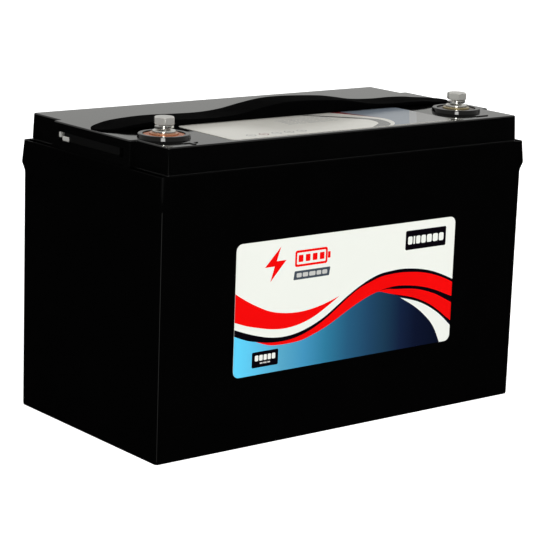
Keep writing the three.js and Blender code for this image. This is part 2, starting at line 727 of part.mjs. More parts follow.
function addCoverSheet() {
  const halfX = 98;
  const halfY = 56;
  const notchX = 62;
  const notchY = -30;
  const sheet = box([-halfX, halfX], [-halfY, halfY], [BUSBAR_HUMP_Z, SHEET_TOP_Z]);
  const notchZ = [BUSBAR_HUMP_Z - 1, SHEET_TOP_Z + 1];
  const notches = [-1, 1].map((side) => (
    box(spanX(side, notchX, halfX + 10), [-halfY - 10, notchY], notchZ)
  ));
  add('cover_sheet', cut(sheet, ...notches), FIBRE_SHEET);
}

// ---- battery management board ----
const BOARD_X = [-64, 64];
const BOARD_Y = [-22, 56];

function addBoard() {
  const t = TRAY_THICK;
  const [y0, y1] = BOARD_Y;
  const tray = profileAlong([
    [y0 - 3, SHEET_TOP_Z], [y0 - 3 + t, SHEET_TOP_Z], [y0 - 3 + t, TRAY_Z], [y1 + 3 - t, TRAY_Z],
    [y1 + 3 - t, SHEET_TOP_Z], [y1 + 3, SHEET_TOP_Z], [y1 + 3, TRAY_Z + t], [y0 - 3, TRAY_Z + t],
  ], BOARD_X);
  const pillars = [];
  const pillarInset = 6;
  const pillarR = 3;
  [BOARD_X[0] + pillarInset, BOARD_X[1] - pillarInset].forEach((x) => {
    [y0 + pillarInset, y1 - pillarInset].forEach((y) => {
      pillars.push(cylinder(x, y, pillarR, [TRAY_Z + 0.5, BOARD_Z], 16));
    });
  });
  add('board_tray', join(tray, ...pillars), ALUMINIUM);
  add('management_board', box(BOARD_X, BOARD_Y, [BOARD_Z, BOARD_TOP_Z]), BOARD_GREEN);

  const finCount = 9;
  const sinkX = [-48, 40];
  const sinkY = [-4, 50];
  const finThick = 2;
  const fins = [];
  for (let i = 0; i < finCount; i += 1) {
    const y = sinkY[0] + (sinkY[1] - sinkY[0] - finThick) * i / (finCount - 1);
    fins.push(box(sinkX, [y, y + finThick], [BOARD_TOP_Z + 2, BOARD_TOP_Z + 13]));
  }
  add('heat_sink', join(box(sinkX, sinkY, [BOARD_TOP_Z, BOARD_TOP_Z + 3]), ...fins), ALUMINIUM);
  add('balance_socket', box([-60, -30], [-20, -12], [BOARD_TOP_Z, BOARD_TOP_Z + 6]), WIRE_WHITE);
  add('current_shunt', box([-20, 20], [-18, -10], [BOARD_TOP_Z, BOARD_TOP_Z + 2.5]), COPPER);
}

// ---- cables ----
// A ring lug: a flat eye round (x, y) with a tongue towards +X or -X that the cable is crimped into.
function lug(x, y, z, direction, eyeHoleR) {
  const eyeR = 8.5;
  const tongueX = x + direction * 19;
  const eye = cylinder(x, y, eyeR, z, 24);
  const tongue = box(direction > 0 ? [x, tongueX] : [tongueX, x], [y - 5, y + 5], z);
  const whole = join(eye, tongue);
  return eyeHoleR ? cut(whole, cylinder(x, y, eyeHoleR, [z[0] - 1, z[1] + 1], 24)) : whole;
}

function addCables() {
  const lowLugZ = [POST_TOP_Z, POST_TOP_Z + LUG_THICK];
  const highLugZ = [NECK_LOW_Z - LUG_THICK, NECK_LOW_Z];
  const lowZ = POST_TOP_Z + LUG_THICK + 0.5;
  const highZ = NECK_LOW_Z - LUG_THICK;
  const y = TERMINAL_Y;
  const studHoleR = STUD_R + FIT;

  const redPath = [
    [-88, -45, lowZ], [-99, -45, lowZ + 1], [-110, -45, 142], [-106, -45, 168],
    [-102, y, 188], [-109, y, highZ - 0.5], [POSITIVE_X + 15, y, highZ],
  ];
  add('positive_cable', join(
    roundWire(redPath, CABLE_R, 22),
    lug(cellX(1), -CELL_POST_Y, lowLugZ, -1, 0),
    lug(POSITIVE_X, y, highLugZ, 1, studHoleR),
  ), CABLE_RED);

  const boardLugZ = [BOARD_TOP_Z, BOARD_TOP_Z + LUG_THICK];
  const boardZ = BOARD_TOP_Z + LUG_THICK + 1.5;
  const shortPath = [
    [88, -45, lowZ], [99, -45, lowZ + 1], [109, -40, 141], [104, -26, 154], [88, -14, 154],
    [74, -12, boardZ], [66, -12, boardZ],
  ];
  add('cell_negative_cable', join(
    roundWire(shortPath, CABLE_R, 22),
    lug(cellX(4), -CELL_POST_Y, lowLugZ, 1, 0),
    lug(52, -12, boardLugZ, 1, 0),
  ), CABLE_BLACK);

  const longPath = [
    [66, 30, boardZ], [78, 30, boardZ], [95, 26, 160], [101, 2, 180], [98, -32, 195],
    [105, y, highZ - 0.5], [NEGATIVE_X - 15, y, highZ],
  ];
  add('output_negative_cable', join(
    roundWire(longPath, CABLE_R, 24),
    lug(52, 30, boardLugZ, 1, 0),
    lug(NEGATIVE_X, y, highLugZ, -1, studHoleR),
  ), CABLE_BLACK);
}

// Thin sensing wires: a run beside the cover sheet with one short tap down to each busbar, where
// the tap ends in a flat eye lying on the copper.
function senseTap(x, side, runZ) {
  const outerY = side * 66;
  const eyeLowZ = POST_TOP_Z + BUSBAR_THICK;
  const eyeThick = 1;
  const wireZ = eyeLowZ + eyeThick + WIRE_R;
  const endY = side * 50;
  const eye = box([x - 3, x + 3], [endY - 4, endY + 4], [eyeLowZ, eyeLowZ + eyeThick + 0.5]);
  const wire = roundWire([
    [x, outerY, runZ], [x, outerY, runZ - 3], [x, side * 62, wireZ + 0.4], [x, side * 56, wireZ],
    [x, endY, wireZ],
  ], WIRE_R, 8);
  return join(wire, eye);
}

function addSenseWires() {
  const runZ = 135;
  const rearY = 66;
  const rearRun = roundWire([[-60, rearY, runZ], [0, rearY, runZ], [60, rearY, runZ]], WIRE_R, 4);
  const toBoard = roundWire([
    [0, rearY, runZ], [0, 70, 142], [0, 66, 152], [0, 55, 151], [0, 53, BOARD_TOP_Z + 0.9],
  ], WIRE_R, 12);
  const rearTaps = [senseTap(-38, 1, runZ), senseTap(38, 1, runZ)];
  add('sense_wires_rear', join(rearRun, ...rearTaps, toBoard), WIRE_WHITE);

  const frontRun = roundWire([[-60, -rearY, runZ], [-20, -rearY, runZ], [20, -rearY, runZ]], WIRE_R, 4);
  const toSocket = roundWire([
    [-45, -rearY, runZ], [-45, -56, 140], [-45, -36, 150], [-45, -24, 150], [-45, -20.5, 150],
  ], WIRE_R, 12);
  add('sense_wires_front', join(frontRun, senseTap(-16, -1, runZ), toSocket), WIRE_WHITE);

  const bead = box([26, 34], [-8, 0], [CAN_TOP_Z, CAN_TOP_Z + 3]);
  const lead = roundWire([
    [30, -4, CAN_TOP_Z + 2], [30, -12, CAN_TOP_Z + 4], [30, -26, CAN_TOP_Z + 4],
  ], 1, 6);
  add('temperature_sensor', join(bead, lead), BLACK_RUBBER);
}

addContainer();
addLidSeal();
addLid();
addTerminal('pos', -1, RED_RESIN);
addTerminal('neg', 1, BLACK_RESIN);
addLabels();
addHandle();
addCells();
addPackFrame();
addBusbars();
addCoverSheet();
addBoard();
addCables();
addSenseWires();

export default battery;
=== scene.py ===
"""Deep cycle battery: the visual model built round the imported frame, with its studio and camera.

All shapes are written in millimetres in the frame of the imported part: +X from the positive end to the
negative end, -Y the labelled front, +Z up, origin at the centre of the underside.
"""

import math

import bmesh
import bpy
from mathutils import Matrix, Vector


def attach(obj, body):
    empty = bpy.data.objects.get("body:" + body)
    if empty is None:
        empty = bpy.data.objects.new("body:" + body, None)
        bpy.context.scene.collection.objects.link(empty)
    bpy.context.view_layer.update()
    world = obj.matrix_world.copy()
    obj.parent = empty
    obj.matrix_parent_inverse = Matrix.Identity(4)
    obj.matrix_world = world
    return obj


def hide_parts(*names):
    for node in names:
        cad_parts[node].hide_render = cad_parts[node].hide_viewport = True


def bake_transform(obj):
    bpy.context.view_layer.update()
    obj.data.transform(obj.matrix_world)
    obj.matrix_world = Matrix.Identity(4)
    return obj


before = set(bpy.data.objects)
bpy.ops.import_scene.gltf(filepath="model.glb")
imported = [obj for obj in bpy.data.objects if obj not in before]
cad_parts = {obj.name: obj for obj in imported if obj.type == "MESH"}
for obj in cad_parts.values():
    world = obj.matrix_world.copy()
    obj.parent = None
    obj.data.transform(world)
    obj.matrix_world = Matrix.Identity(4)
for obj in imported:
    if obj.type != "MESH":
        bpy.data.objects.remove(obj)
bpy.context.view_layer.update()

MM = 0.001

# ---- driving dimensions, in millimetres ----
ROUND_STEPS = 96  # sides of a round part
CORNER_STEPS = 6  # facets of a rounded corner in plan
SOFT_STEPS = 4  # facets of a softened corner of a profile
PAST = 1  # how far a joining or cutting solid passes the face that it meets
FIT = 0.1  # gap between two parts pushed together
CLEAR = 0.3  # gap round a part that sits loosely in its neighbour

BODY_LENGTH = 328.5
BODY_WIDTH = 170
BODY_CORNER = 2.5
BODY_FOOT_INSET = 2.5
BODY_TOP_Z = 174
SHOULDER_LOW_Z = 166  # between these two heights the wall leans in to carry the lid
SHOULDER_HIGH_Z = 176
RIM_LENGTH = 331.5
RIM_WIDTH = 173.5
RIM_DRAFT = 2.4  # the rim is this much smaller at its top edge
RIM_LOW_Z = 180
RIM_TOP_Z = 196
RIM_LIP = 1  # thickness of the rim outside the groove round the lid
LIP_EDGE = 0.3  # what its inner chamfer leaves flat
GROOVE_LOW_Z = 193.5
WALL = 3
FLOOR_Z = 3.5
OPENING_LENGTH = 308
OPENING_WIDTH = 162
OPENING_CORNER = 2

SEAL_TOP_Z = 196.8
LID_LENGTH = 318
LID_WIDTH = 167
LID_DRAFT = 0.9
LID_TOP_Z = 215
LID_EDGE = 1.0
LID_PLATE_LOW_Z = 211.5
TONGUE_DEPTH = 7  # how far the lid reaches down into the case
TONGUE_WALL = 2
CAVITY_STEP_Z = 200.8  # above it the hollow under the lid is narrower
CAVITY_LENGTH = 297
CAVITY_WIDTH = 157
BLOCK_REACH = 164.7
BLOCK_HALF_WIDTH = 47.5
BLOCK_CORNER = 1.2
POCKET_BACK_X = 152
POCKET_HALF_WIDTH = 40
POCKET_LOW_Z = 202.5
POCKET_HIGH_Z = 208.5
PEG_X = 156.8
PEG_LENGTH = 5
PEG_WIDTH = 11
CLIP_HALF_WIDTH = 34
CLIP_FACE_X = BLOCK_REACH - 1.5
# The two plated tabs on each clip: (y from and to), (z from and to).
CLIP_TABS = [((27.5, 35.6), (202.5, 205.8)), ((37.4, 39.8), (204.4, 208.4))]

POSITIVE_X = -136
NEGATIVE_X = 131
TERMINAL_Y = -46.3
WELL_R = 14.4
WELL_FLOOR_Z = 212
BOSS_R = 17
BOSS_LOW_Z = 205
COLLAR_R = 18.2
COLLAR_SLOPE = 0.6  # its wall leans in by this much
COLLAR_TOP_Z = 217.8
SEAL_RING_TOP_Z = 217.4
INSERT_R = 10
INSERT_TOP_Z = 218.4
CORE_R = 0.4  # flat middle of a turned end
NECK_R = 8
NECK_LOW_Z = 200
STUD_R = 3.9
STUD_LOW_Z = 187
BORE_R = 4.3
BORE_LOW_Z = 203
WASHER_R = 8
WASHER_TOP_Z = 220
SPRING_R = 6.5
SPRING_THICK = 2
SPRING_TOP_Z = 223.8
HEX_FLATS = 13
HEAD_TOP_Z = 229.1
SHANK_LOW_Z = 203.8
THREAD_PITCH = 1.25
THREAD_DEPTH = 0.6
MARK_SIZE = 12
MARK_BAR = 2.6
MARK_HEIGHT = 0.6
PLUS_X = -134
MINUS_X = 131.5
MARK_Y = -73

LABEL_X = -1
LABEL_HALF_LENGTH = 100.5
LABEL_THICK = 0.3
LABEL_CORNER = 5
FRONT_LABEL_LOW_Z = 51.2
FRONT_LABEL_HEIGHT = 93.8
TOP_LABEL_FRONT_Y = -78
TOP_LABEL_DEPTH = 66
INK_THICK = 0.04

STRAP_HALF_WIDTH = 14.5
STRAP_TIP_X = 162
STRAP_TIP_LENGTH = 22
STRAP_EDGE = 1.6
GRIP_LEFT_X = -50
GRIP_RIGHT_X = 78
SEAM = 0.02  # gap between the grip and each leg

# Side view of the strap: (x, height above the lid) along its top and along its underside.
STRAP_TOP = [
    (-162, 0.8), (-152, 1.7), (-142, 3.2), (-131, 4.2), (-119, 4.8), (-106, 4.9), (-84, 4.2),
    (-63, 4.0), (-45, 5.4), (-28, 8.2), (-10, 10.6), (5, 11.1), (23, 10.6), (47, 9.1), (61, 7.2),
    (76, 4.8), (98, 3.5), (116, 3.6), (131, 3.0), (142, 1.9), (162, 0.8),
]
STRAP_UNDERSIDE = [(-162, 0.02), (-143, 0.02), (-137, 0.6), (137, 0.6), (143, 0.02), (162, 0.02)]
GRIP_HOLLOW = ((-28, 56), (-11, 11), (215, 219.6))


# ---- meshes ----
def add_object(name, data):
    thing = bpy.data.objects.new(name, data)
    bpy.context.scene.collection.objects.link(thing)
    return thing


def new_piece(name, vertices, faces, materials, bands=None):
    """A mesh object from millimetre vertices, with its faces turned outwards."""
    mesh = bpy.data.meshes.new(name)
    mesh.from_pydata([[c * MM for c in vertex] for vertex in vertices], [], faces)
    for material in materials:
        mesh.materials.append(material)
    if bands:
        mesh.polygons.foreach_set("material_index", bands)
    work = bmesh.new()
    work.from_mesh(mesh)
    bmesh.ops.recalc_face_normals(work, faces=work.faces)
    work.to_mesh(mesh)
    work.free()
    return add_object(name, mesh)


def stack(rings, loop=False):
    """Vertices and faces through rings of equal point counts: capped, or closed on itself as a loop."""
    count = len(rings[0])
    vertices = [point for ring in rings for point in ring]
    faces = []
    for level in range(len(rings) if loop else len(rings) - 1):
        low = level * count
        high = (level + 1) % len(rings) * count
        for i in range(count):
            after = (i + 1) % count
            faces.append((low + i, low + after, high + after, high + i))
    if not loop:
        last = (len(rings) - 1) * count
        faces.append(tuple(reversed(range(count))))
        faces.append(tuple(range(last, last + count)))
    return vertices, faces


def rounded_polygon(corners, steps):
    """Outline through right-angled corners, each (x, y, radius), with an arc at every corner."""
    points = []
    for i, (x, y, radius) in enumerate(corners):
        before = Vector(corners[i - 1][:2]) - Vector((x, y))
        after = Vector(corners[(i + 1) % len(corners)][:2]) - Vector((x, y))
        u = before.normalized() * radius
        v = after.normalized() * radius
        centre = Vector((x, y)) + u + v
        for step in range(steps + 1):
            angle = step / steps * math.pi / 2
            point = centre - v * math.cos(angle) - u * math.sin(angle)
            points.append((point.x, point.y))
    return points


def four_quarters(quarter, steps=CORNER_STEPS):
    """A closed outline from the corners of its +X +Y quarter, mirrored to the other three."""
    back = quarter + [(-x, y, r) for x, y, r in reversed(quarter)]
    return rounded_polygon(back + [(-x, -y, r) for x, y, r in back], steps)


def rectangle(half_length, half_width, radius, steps=CORNER_STEPS):
    return four_quarters([(half_length, half_width, radius)], steps)


def soften(points, reach, steps=SOFT_STEPS, loop=False):
    """A path whose corners are bent round; reach[i] is how far from corner i the bend starts."""
    path = []
    count = len(points)
    for i, point in enumerate(points):
        here = Vector(point)
        is_end = not loop and i in (0, count - 1)
        if reach[i] == 0 or is_end:
            path.append(here)
            continue
        before = Vector(points[i - 1]) - here
        after = Vector(points[(i + 1) % count]) - here
        start = here + before * min(0.5, reach[i] / before.length)
        end = here + after * min(0.5, reach[i] / after.length)
        for step in range(steps + 1):
            t = step / steps
            path.append(start * (1 - t) ** 2 + here * 2 * t * (1 - t) + end * t * t)
    return path


def level_stack(levels):
    """A solid through rectangular levels, each (z, length, width, corner radius)."""
    return stack([
        [(x, y, z) for x, y in rectangle(length / 2, width / 2, corner)]
        for z, length, width, corner in levels
    ])


def circle(x, y, radius, z, steps=ROUND_STEPS):
    angles = [2 * math.pi * i / steps for i in range(steps)]
    return [(x + radius * math.cos(a), y + radius * math.sin(a), z) for a in angles]


def turned(side, profile, loop=False):
    """A solid turned about the axis of a terminal; the profile is (radius, z) pairs."""
    return stack([circle(terminal_x(side), TERMINAL_Y, radius, z) for radius, z in profile], loop)


def block(x, y, z):
    """A plain box between x, y and z pairs."""
    low = [(x[0], y[0]), (x[1], y[0]), (x[1], y[1]), (x[0], y[1])]
    return stack([[(px, py, pz) for px, py in low] for pz in z])


def terminal_x(side):
    """Side -1 is the positive end of the case and 1 the negative end."""
    return POSITIVE_X if side < 0 else NEGATIVE_X


def span(side, near, far):
    """The x pair between two distances from the middle, on one side of it."""
    return (near, far) if side > 0 else (-far, -near)


def bake(piece):
    """Turns a piece's modifiers into its mesh."""
    evaluated = piece.evaluated_get(bpy.context.evaluated_depsgraph_get())
    mesh = bpy.data.meshes.new_from_object(evaluated)
    piece.modifiers.clear()
    piece.data = mesh


def combine(piece, operation, solid):
    """Adds a solid to a piece, cuts it away or keeps only what they share."""
    tool = new_piece("tool", *solid, [])
    modifier = piece.modifiers.new("combine", "BOOLEAN")
    modifier.object = tool
    modifier.operation = operation
    modifier.solver = "EXACT"
    bpy.context.view_layer.update()
    bake(piece)
    bpy.data.objects.remove(tool)


def bevel(piece, width, angle):
    """A bevel, still a modifier, on every edge that bends by more than an angle."""
    modifier = piece.modifiers.new("edges", "BEVEL")
    modifier.width = width * MM
    modifier.segments = 2
    modifier.limit_method = "ANGLE"
    modifier.angle_limit = math.radians(angle)
    return modifier


def round_edges(piece, width, angle=30):
    bevel(piece, width, angle)
    bpy.context.view_layer.update()
    bake(piece)


def shade(piece, sharp_angle=35):
    """Smooth shading that keeps flat faces flat and real edges sharp."""
    piece.data.shade_smooth()
    piece.data.set_sharp_from_angle(angle=math.radians(sharp_angle))
    modifier = piece.modifiers.new("normals", "WEIGHTED_NORMAL")
    modifier.keep_sharp = True


def finish_piece(piece, body, material_slot, *nodes):
    """Shades a piece, fixes it to its body and lets it stand for its CAD nodes."""
    shade(piece)
    if body:
        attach(piece, body)
    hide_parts(*nodes)


def smooth_line(points):
    """A smooth function through (x, value) points."""
    xs = [p[0] for p in points]
    values = [p[1] for p in points]
    slopes = []
    for i in range(len(points)):
        low = max(i - 1, 0)
        high = min(i + 1, len(points) - 1)
        slopes.append((values[high] - values[low]) / (xs[high] - xs[low]))

    def value(x):
        if x <= xs[0]:
            return values[0]
        if x >= xs[-1]:
            return values[-1]
        i = max(k for k in range(len(xs) - 1) if xs[k] <= x)
        width = xs[i + 1] - xs[i]
        t = (x - xs[i]) / width
        rise = values[i + 1] - values[i]
        a = slopes[i] * width - rise
        b = rise - slopes[i + 1] * width
        return values[i] + t * rise + t * (1 - t) * (a * (1 - t) + b * t)

    return value


# ---- materials ----
def set_inputs(node, values):
    for name, value in values.items():
        node.inputs[name].default_value = value


def link_inputs(tree, node, sources):
    for name, source in sources.items():
        tree.links.new(source, node.inputs[name])


def add_node(tree, kind, values=None, sources=None):
    """A new shader node with some inputs set to values and some linked to other nodes' outputs."""
    node = tree.nodes.new(f"ShaderNode{kind}")
    set_inputs(node, values or {})
    link_inputs(tree, node, sources or {})
    return node


def surface(name, colour, roughness, metallic=0.0, ior=1.5, mottle=(60, 0.1), grain=(900, 0.02),
            spread=0.06, stretch=(1, 1, 1)):
    """A finish with uneven colour, uneven roughness and a fine bump.

    mottle is (scale, share of colour change), grain is (scale, bump strength), spread is how far the
    roughness wanders and stretch draws the grain out along an axis.
    """
    material = bpy.data.materials.new(name)
    material.use_nodes = True
    tree = material.node_tree
    place = add_node(tree, "TexCoord")
    scaled = add_node(tree, "Mapping", {"Scale": stretch}, {"Vector": place.outputs["Object"]})
    vector = {"Vector": scaled.outputs["Vector"]}

    patches = add_node(tree, "TexNoise", {"Scale": mottle[0], "Detail": 4}, vector)
    tint = add_node(tree, "Mix")
    tint.data_type = "RGBA"
    darker = [c * (1 - mottle[1]) for c in colour] + [1]
    lighter = [min(1, c * (1 + mottle[1])) for c in colour] + [1]
    set_inputs(tint, {"A": darker, "B": lighter})
    link_inputs(tree, tint, {"Factor": patches.outputs["Fac"]})
    limits = {"To Min": max(0.0, roughness - spread), "To Max": min(1.0, roughness + spread)}
    wander = add_node(tree, "MapRange", limits, {"Value": patches.outputs["Fac"]})

    fine = add_node(tree, "TexNoise", {"Scale": grain[0], "Detail": 3}, vector)
    depth = {"Strength": grain[1], "Distance": 0.2 * MM}
    bump = add_node(tree, "Bump", depth, {"Height": fine.outputs["Fac"]})

    principled = tree.nodes["Principled BSDF"]
    set_inputs(principled, {"Metallic": metallic, "IOR": ior})
    link_inputs(tree, principled, {
        "Base Color": tint.outputs["Result"],
        "Roughness": wander.outputs["Result"],
        "Normal": bump.outputs["Normal"],
    })
    return material


def fade_along_x(material, stops):
    """Paints a left to right fade on a finish; stops are (x in millimetres, colour)."""
    tree = material.node_tree
    place = tree.nodes["Texture Coordinate"]
    split = add_node(tree, "SeparateXYZ", sources={"Vector": place.outputs["Object"]})
    ends = {"From Min": -LABEL_HALF_LENGTH * MM, "From Max": LABEL_HALF_LENGTH * MM}
    along = add_node(tree, "MapRange", ends, {"Value": split.outputs["X"]})
    ramp = add_node(tree, "ValToRGB", sources={"Fac": along.outputs["Result"]})
    elements = ramp.color_ramp.elements
    while len(elements) < len(stops):
        elements.new(0.5)
    for element, (x, colour) in zip(elements, stops):
        element.position = (x + LABEL_HALF_LENGTH) / (2 * LABEL_HALF_LENGTH)
        element.color = (*colour, 1)
    link_inputs(tree, tree.nodes["Principled BSDF"], {"Base Color": ramp.outputs["Color"]})
    return material


def gloss_black(name, shade, roughness, ior, bump=0.03):
    """Moulded black plastic; shade is its grey value."""
    return surface(name, (shade, shade, shade), roughness, ior=ior, mottle=(35, 0.3),
                   grain=(500, bump), spread=0.03)


def printed(name, colour, ior, change):
    """A colour of the front label; change is how far it wanders."""
    return surface(name, colour, 0.25, ior=ior, mottle=(20, change), grain=(300, 0.02))


def top_printed(name, colour, change=0.05):
    """A colour of the top label, whose film mirrors the room more strongly."""
    return surface(name, colour, 0.2, ior=1.45, mottle=(30, change), grain=(300, 0.02))


BODY_BLACK = gloss_black("body_black", 0.0008, 0.08, 1.22)
CASE_BLACK = gloss_black("case_black", 0.0012, 0.07, 1.42)
COLLAR_BLACK = gloss_black("collar_black", 0.001, 0.06, 1.38, bump=0.02)
INNER_BLACK = surface("inner_black", (0.0015, 0.0015, 0.0015), 0.5, ior=1.2, mottle=(50, 0.3),
                      grain=(700, 0.1))
SEAL_BLACK = surface("seal_black", (0.004, 0.004, 0.004), 0.6, ior=1.3, grain=(1200, 0.2))
STRAP_BLACK = surface("strap_black", (0.0012, 0.0012, 0.0013), 0.75, ior=1.04, mottle=(120, 0.4),
                      grain=(1600, 0.25), spread=0.12)
RED_RESIN = surface("red_resin", (0.5, 0.15, 0.055), 0.35, mottle=(150, 0.3), grain=(600, 0.1))
BROWN_RESIN = surface("brown_resin", (0.03, 0.018, 0.01), 0.3, mottle=(150, 0.4), grain=(600, 0.1))
BRONZE = surface("bronze", (0.55, 0.24, 0.12), 0.25, metallic=0.5, mottle=(200, 0.1), grain=(1500, 0.05))
BRASS = surface("brass", (0.36, 0.29, 0.15), 0.25, metallic=0.6, mottle=(200, 0.1), grain=(1500, 0.05))
STEEL = surface("plated_steel", (0.7, 0.69, 0.65), 0.22, metallic=0.5, mottle=(250, 0.05),
                grain=(1500, 0.04), spread=0.05)
BRIGHT_STEEL = surface("bright_steel", (0.78, 0.77, 0.73), 0.14, metallic=0.9, mottle=(250, 0.05),
                       grain=(1500, 0.03), spread=0.04)
BLUE_FADE = [
    (-98, (0.1, 0.57, 0.83)), (-86, (0.095, 0.5, 0.75)), (-60, (0.08, 0.335, 0.5)),
    (-40, (0.046, 0.258, 0.445)), (-20, (0.022, 0.168, 0.288)), (0, (0.015, 0.09, 0.178)),
    (20, (0.011, 0.052, 0.112)), (35, (0.008, 0.035, 0.073)), (50, (0.005, 0.013, 0.041)),
    (65, (0.003, 0.006, 0.022)), (85, (0.002, 0.004, 0.015)),
]
# Both labels have one finish for each colour, in this order.
WHITE, RED, DARK, BLUE, SLATE, PALE = range(6)
LABEL_COLOURS = [
    printed("label_white", (0.745, 0.765, 0.71), 1.12, 0.015),
    printed("label_red", (0.76, 0.001, 0.001), 1.08, 0.03),
    printed("label_dark", (0.002, 0.001, 0.003), 1.15, 0.1),
    fade_along_x(printed("label_blue", (0.1, 0.3, 0.5), 1.12, 0.05), BLUE_FADE),
    printed("label_slate", (0.05, 0.065, 0.085), 1.2, 0.1),
    printed("label_pale", (0.5, 0.5, 0.48), 1.2, 0.1),
]
TOP_LABEL_COLOURS = [
    top_printed("top_white", (0.95, 0.93, 0.85), 0.03),
    top_printed("top_red", (0.3, 0.04, 0.04)),
    top_printed("top_grey", (0.19, 0.19, 0.18)),
    top_printed("top_sky", (0.27, 0.32, 0.38)),
    top_printed("top_silver", (0.33, 0.33, 0.32)),
    # Pale print, and also the painted highlight: the stripe of soft light's sheen painted across the top
    # label's film.
    top_printed("top_pale_print_and_sheen", (0.42, 0.43, 0.44)),
]


# ---- case ----
def build_container():
    """One skin: foot, wall, rim, groove, the ledge under the lid, and the inside down to the floor."""
    chamfer = RIM_LIP - LIP_EDGE
    top = (RIM_LENGTH - RIM_DRAFT, RIM_WIDTH - RIM_DRAFT)
    groove = (top[0] - 2 * RIM_LIP, top[1] - 2 * RIM_LIP)
    inside = (BODY_LENGTH - 2 * WALL, BODY_WIDTH - 2 * WALL)
    # Each level is (z, length, width, corner radius), with how far from it the wall starts to bend.
    levels = [
        ((0, BODY_LENGTH - 2 * BODY_FOOT_INSET, BODY_WIDTH - 2 * BODY_FOOT_INSET, 1), 0),
        ((0, BODY_LENGTH, BODY_WIDTH, BODY_CORNER), 2.4),
        ((BODY_TOP_Z, BODY_LENGTH, BODY_WIDTH, BODY_CORNER), 2),
        ((RIM_LOW_Z, RIM_LENGTH, RIM_WIDTH, BODY_CORNER), 1.2),
        ((RIM_TOP_Z, *top, BODY_CORNER), 0.12),
        ((RIM_TOP_Z, groove[0] + 2 * chamfer, groove[1] + 2 * chamfer, BODY_CORNER - 0.2), 0.12),
        ((RIM_TOP_Z - chamfer, *groove, BODY_CORNER - 0.5), 0.2),
        ((GROOVE_LOW_Z, *groove, BODY_CORNER - 0.5), 0),
        ((GROOVE_LOW_Z, LID_LENGTH, LID_WIDTH, BODY_CORNER), 0),
        ((RIM_TOP_Z, LID_LENGTH, LID_WIDTH, BODY_CORNER), 0),
        ((RIM_TOP_Z, OPENING_LENGTH, OPENING_WIDTH, OPENING_CORNER), 0.8),
        ((SHOULDER_HIGH_Z, OPENING_LENGTH, OPENING_WIDTH, OPENING_CORNER), 1),
        ((SHOULDER_LOW_Z, *inside, OPENING_CORNER), 1),
        ((FLOOR_Z, *inside, OPENING_CORNER), 0),
    ]
    piece = new_piece("container_shell", *level_stack(soften(*zip(*levels))), [BODY_BLACK])
    finish_piece(piece, "case", "case_plastic", "container")


def build_lid_seal():
    inset = 0.3
    outer = rectangle(LID_LENGTH / 2 - inset, LID_WIDTH / 2 - inset, BODY_CORNER)
    inner = rectangle(OPENING_LENGTH / 2, OPENING_WIDTH / 2, OPENING_CORNER)
    corners = [(outer, RIM_TOP_Z), (outer, SEAL_TOP_Z), (inner, SEAL_TOP_Z), (inner, RIM_TOP_Z)]
    rings = [[(x, y, z) for x, y in outline] for outline, z in corners]
    piece = new_piece("lid_seal_bead", *stack(rings, loop=True), [SEAL_BLACK])
    finish_piece(piece, "case", "seal_compound", "lid_seal")


def lid_outline(inset):
    """Plan of the lid: a plate with a wider block at each end."""
    plate_x = LID_LENGTH / 2 - inset
    plate_y = LID_WIDTH / 2 - inset
    block_x = BLOCK_REACH - inset
    block_y = BLOCK_HALF_WIDTH - inset
    corner = max(1.5, BODY_CORNER - inset)
    hollow = 0.6 + inset / 2
    return four_quarters([
        (block_x, block_y, BLOCK_CORNER), (plate_x, block_y, hollow), (plate_x, plate_y, corner),
    ])


def lid_rings():
    """The lid's wall: a small bevel at its foot, a leaning side and a rounded top edge."""
    levels = [(SEAL_TOP_Z, 0.2), (SEAL_TOP_Z + 0.3, 0)]
    for step in range(CORNER_STEPS + 1):
        angle = step / CORNER_STEPS * math.pi / 2
        z = LID_TOP_Z - LID_EDGE + LID_EDGE * math.sin(angle)
        levels.append((z, LID_DRAFT + LID_EDGE * (1 - math.cos(angle))))
    return [[(x, y, z) for x, y in lid_outline(inset)] for z, inset in levels]


def plus_outline(half, bar):
    """A plus sign from half its size and half the width of its bars."""
    return four_quarters([(half, bar, 0.4), (bar, bar, 0.3), (bar, half, 0.4)], steps=3)


def raised_mark(x, outline):
    """A polarity mark with a slightly narrower top, sunk a little into the lid."""
    sunk = 0.5
    edge = 0.2
    top_scale = 0.96
    top_z = LID_TOP_Z + MARK_HEIGHT
    levels = [(LID_TOP_Z - sunk, 1), (top_z - edge, 1), (top_z, top_scale)]
    return stack([[(x + px * k, MARK_Y + py * k, z) for px, py in outline] for z, k in levels])


def rounded_bar(side, near, far, half_width, z, radius):
    """A bar along x with a rounded rectangular section."""
    middle = (z[0] + z[1]) / 2
    outline = rectangle(half_width, (z[1] - z[0]) / 2, radius, steps=3)
    return stack([[(x, y, middle + dz) for y, dz in outline] for x in span(side, near, far)])


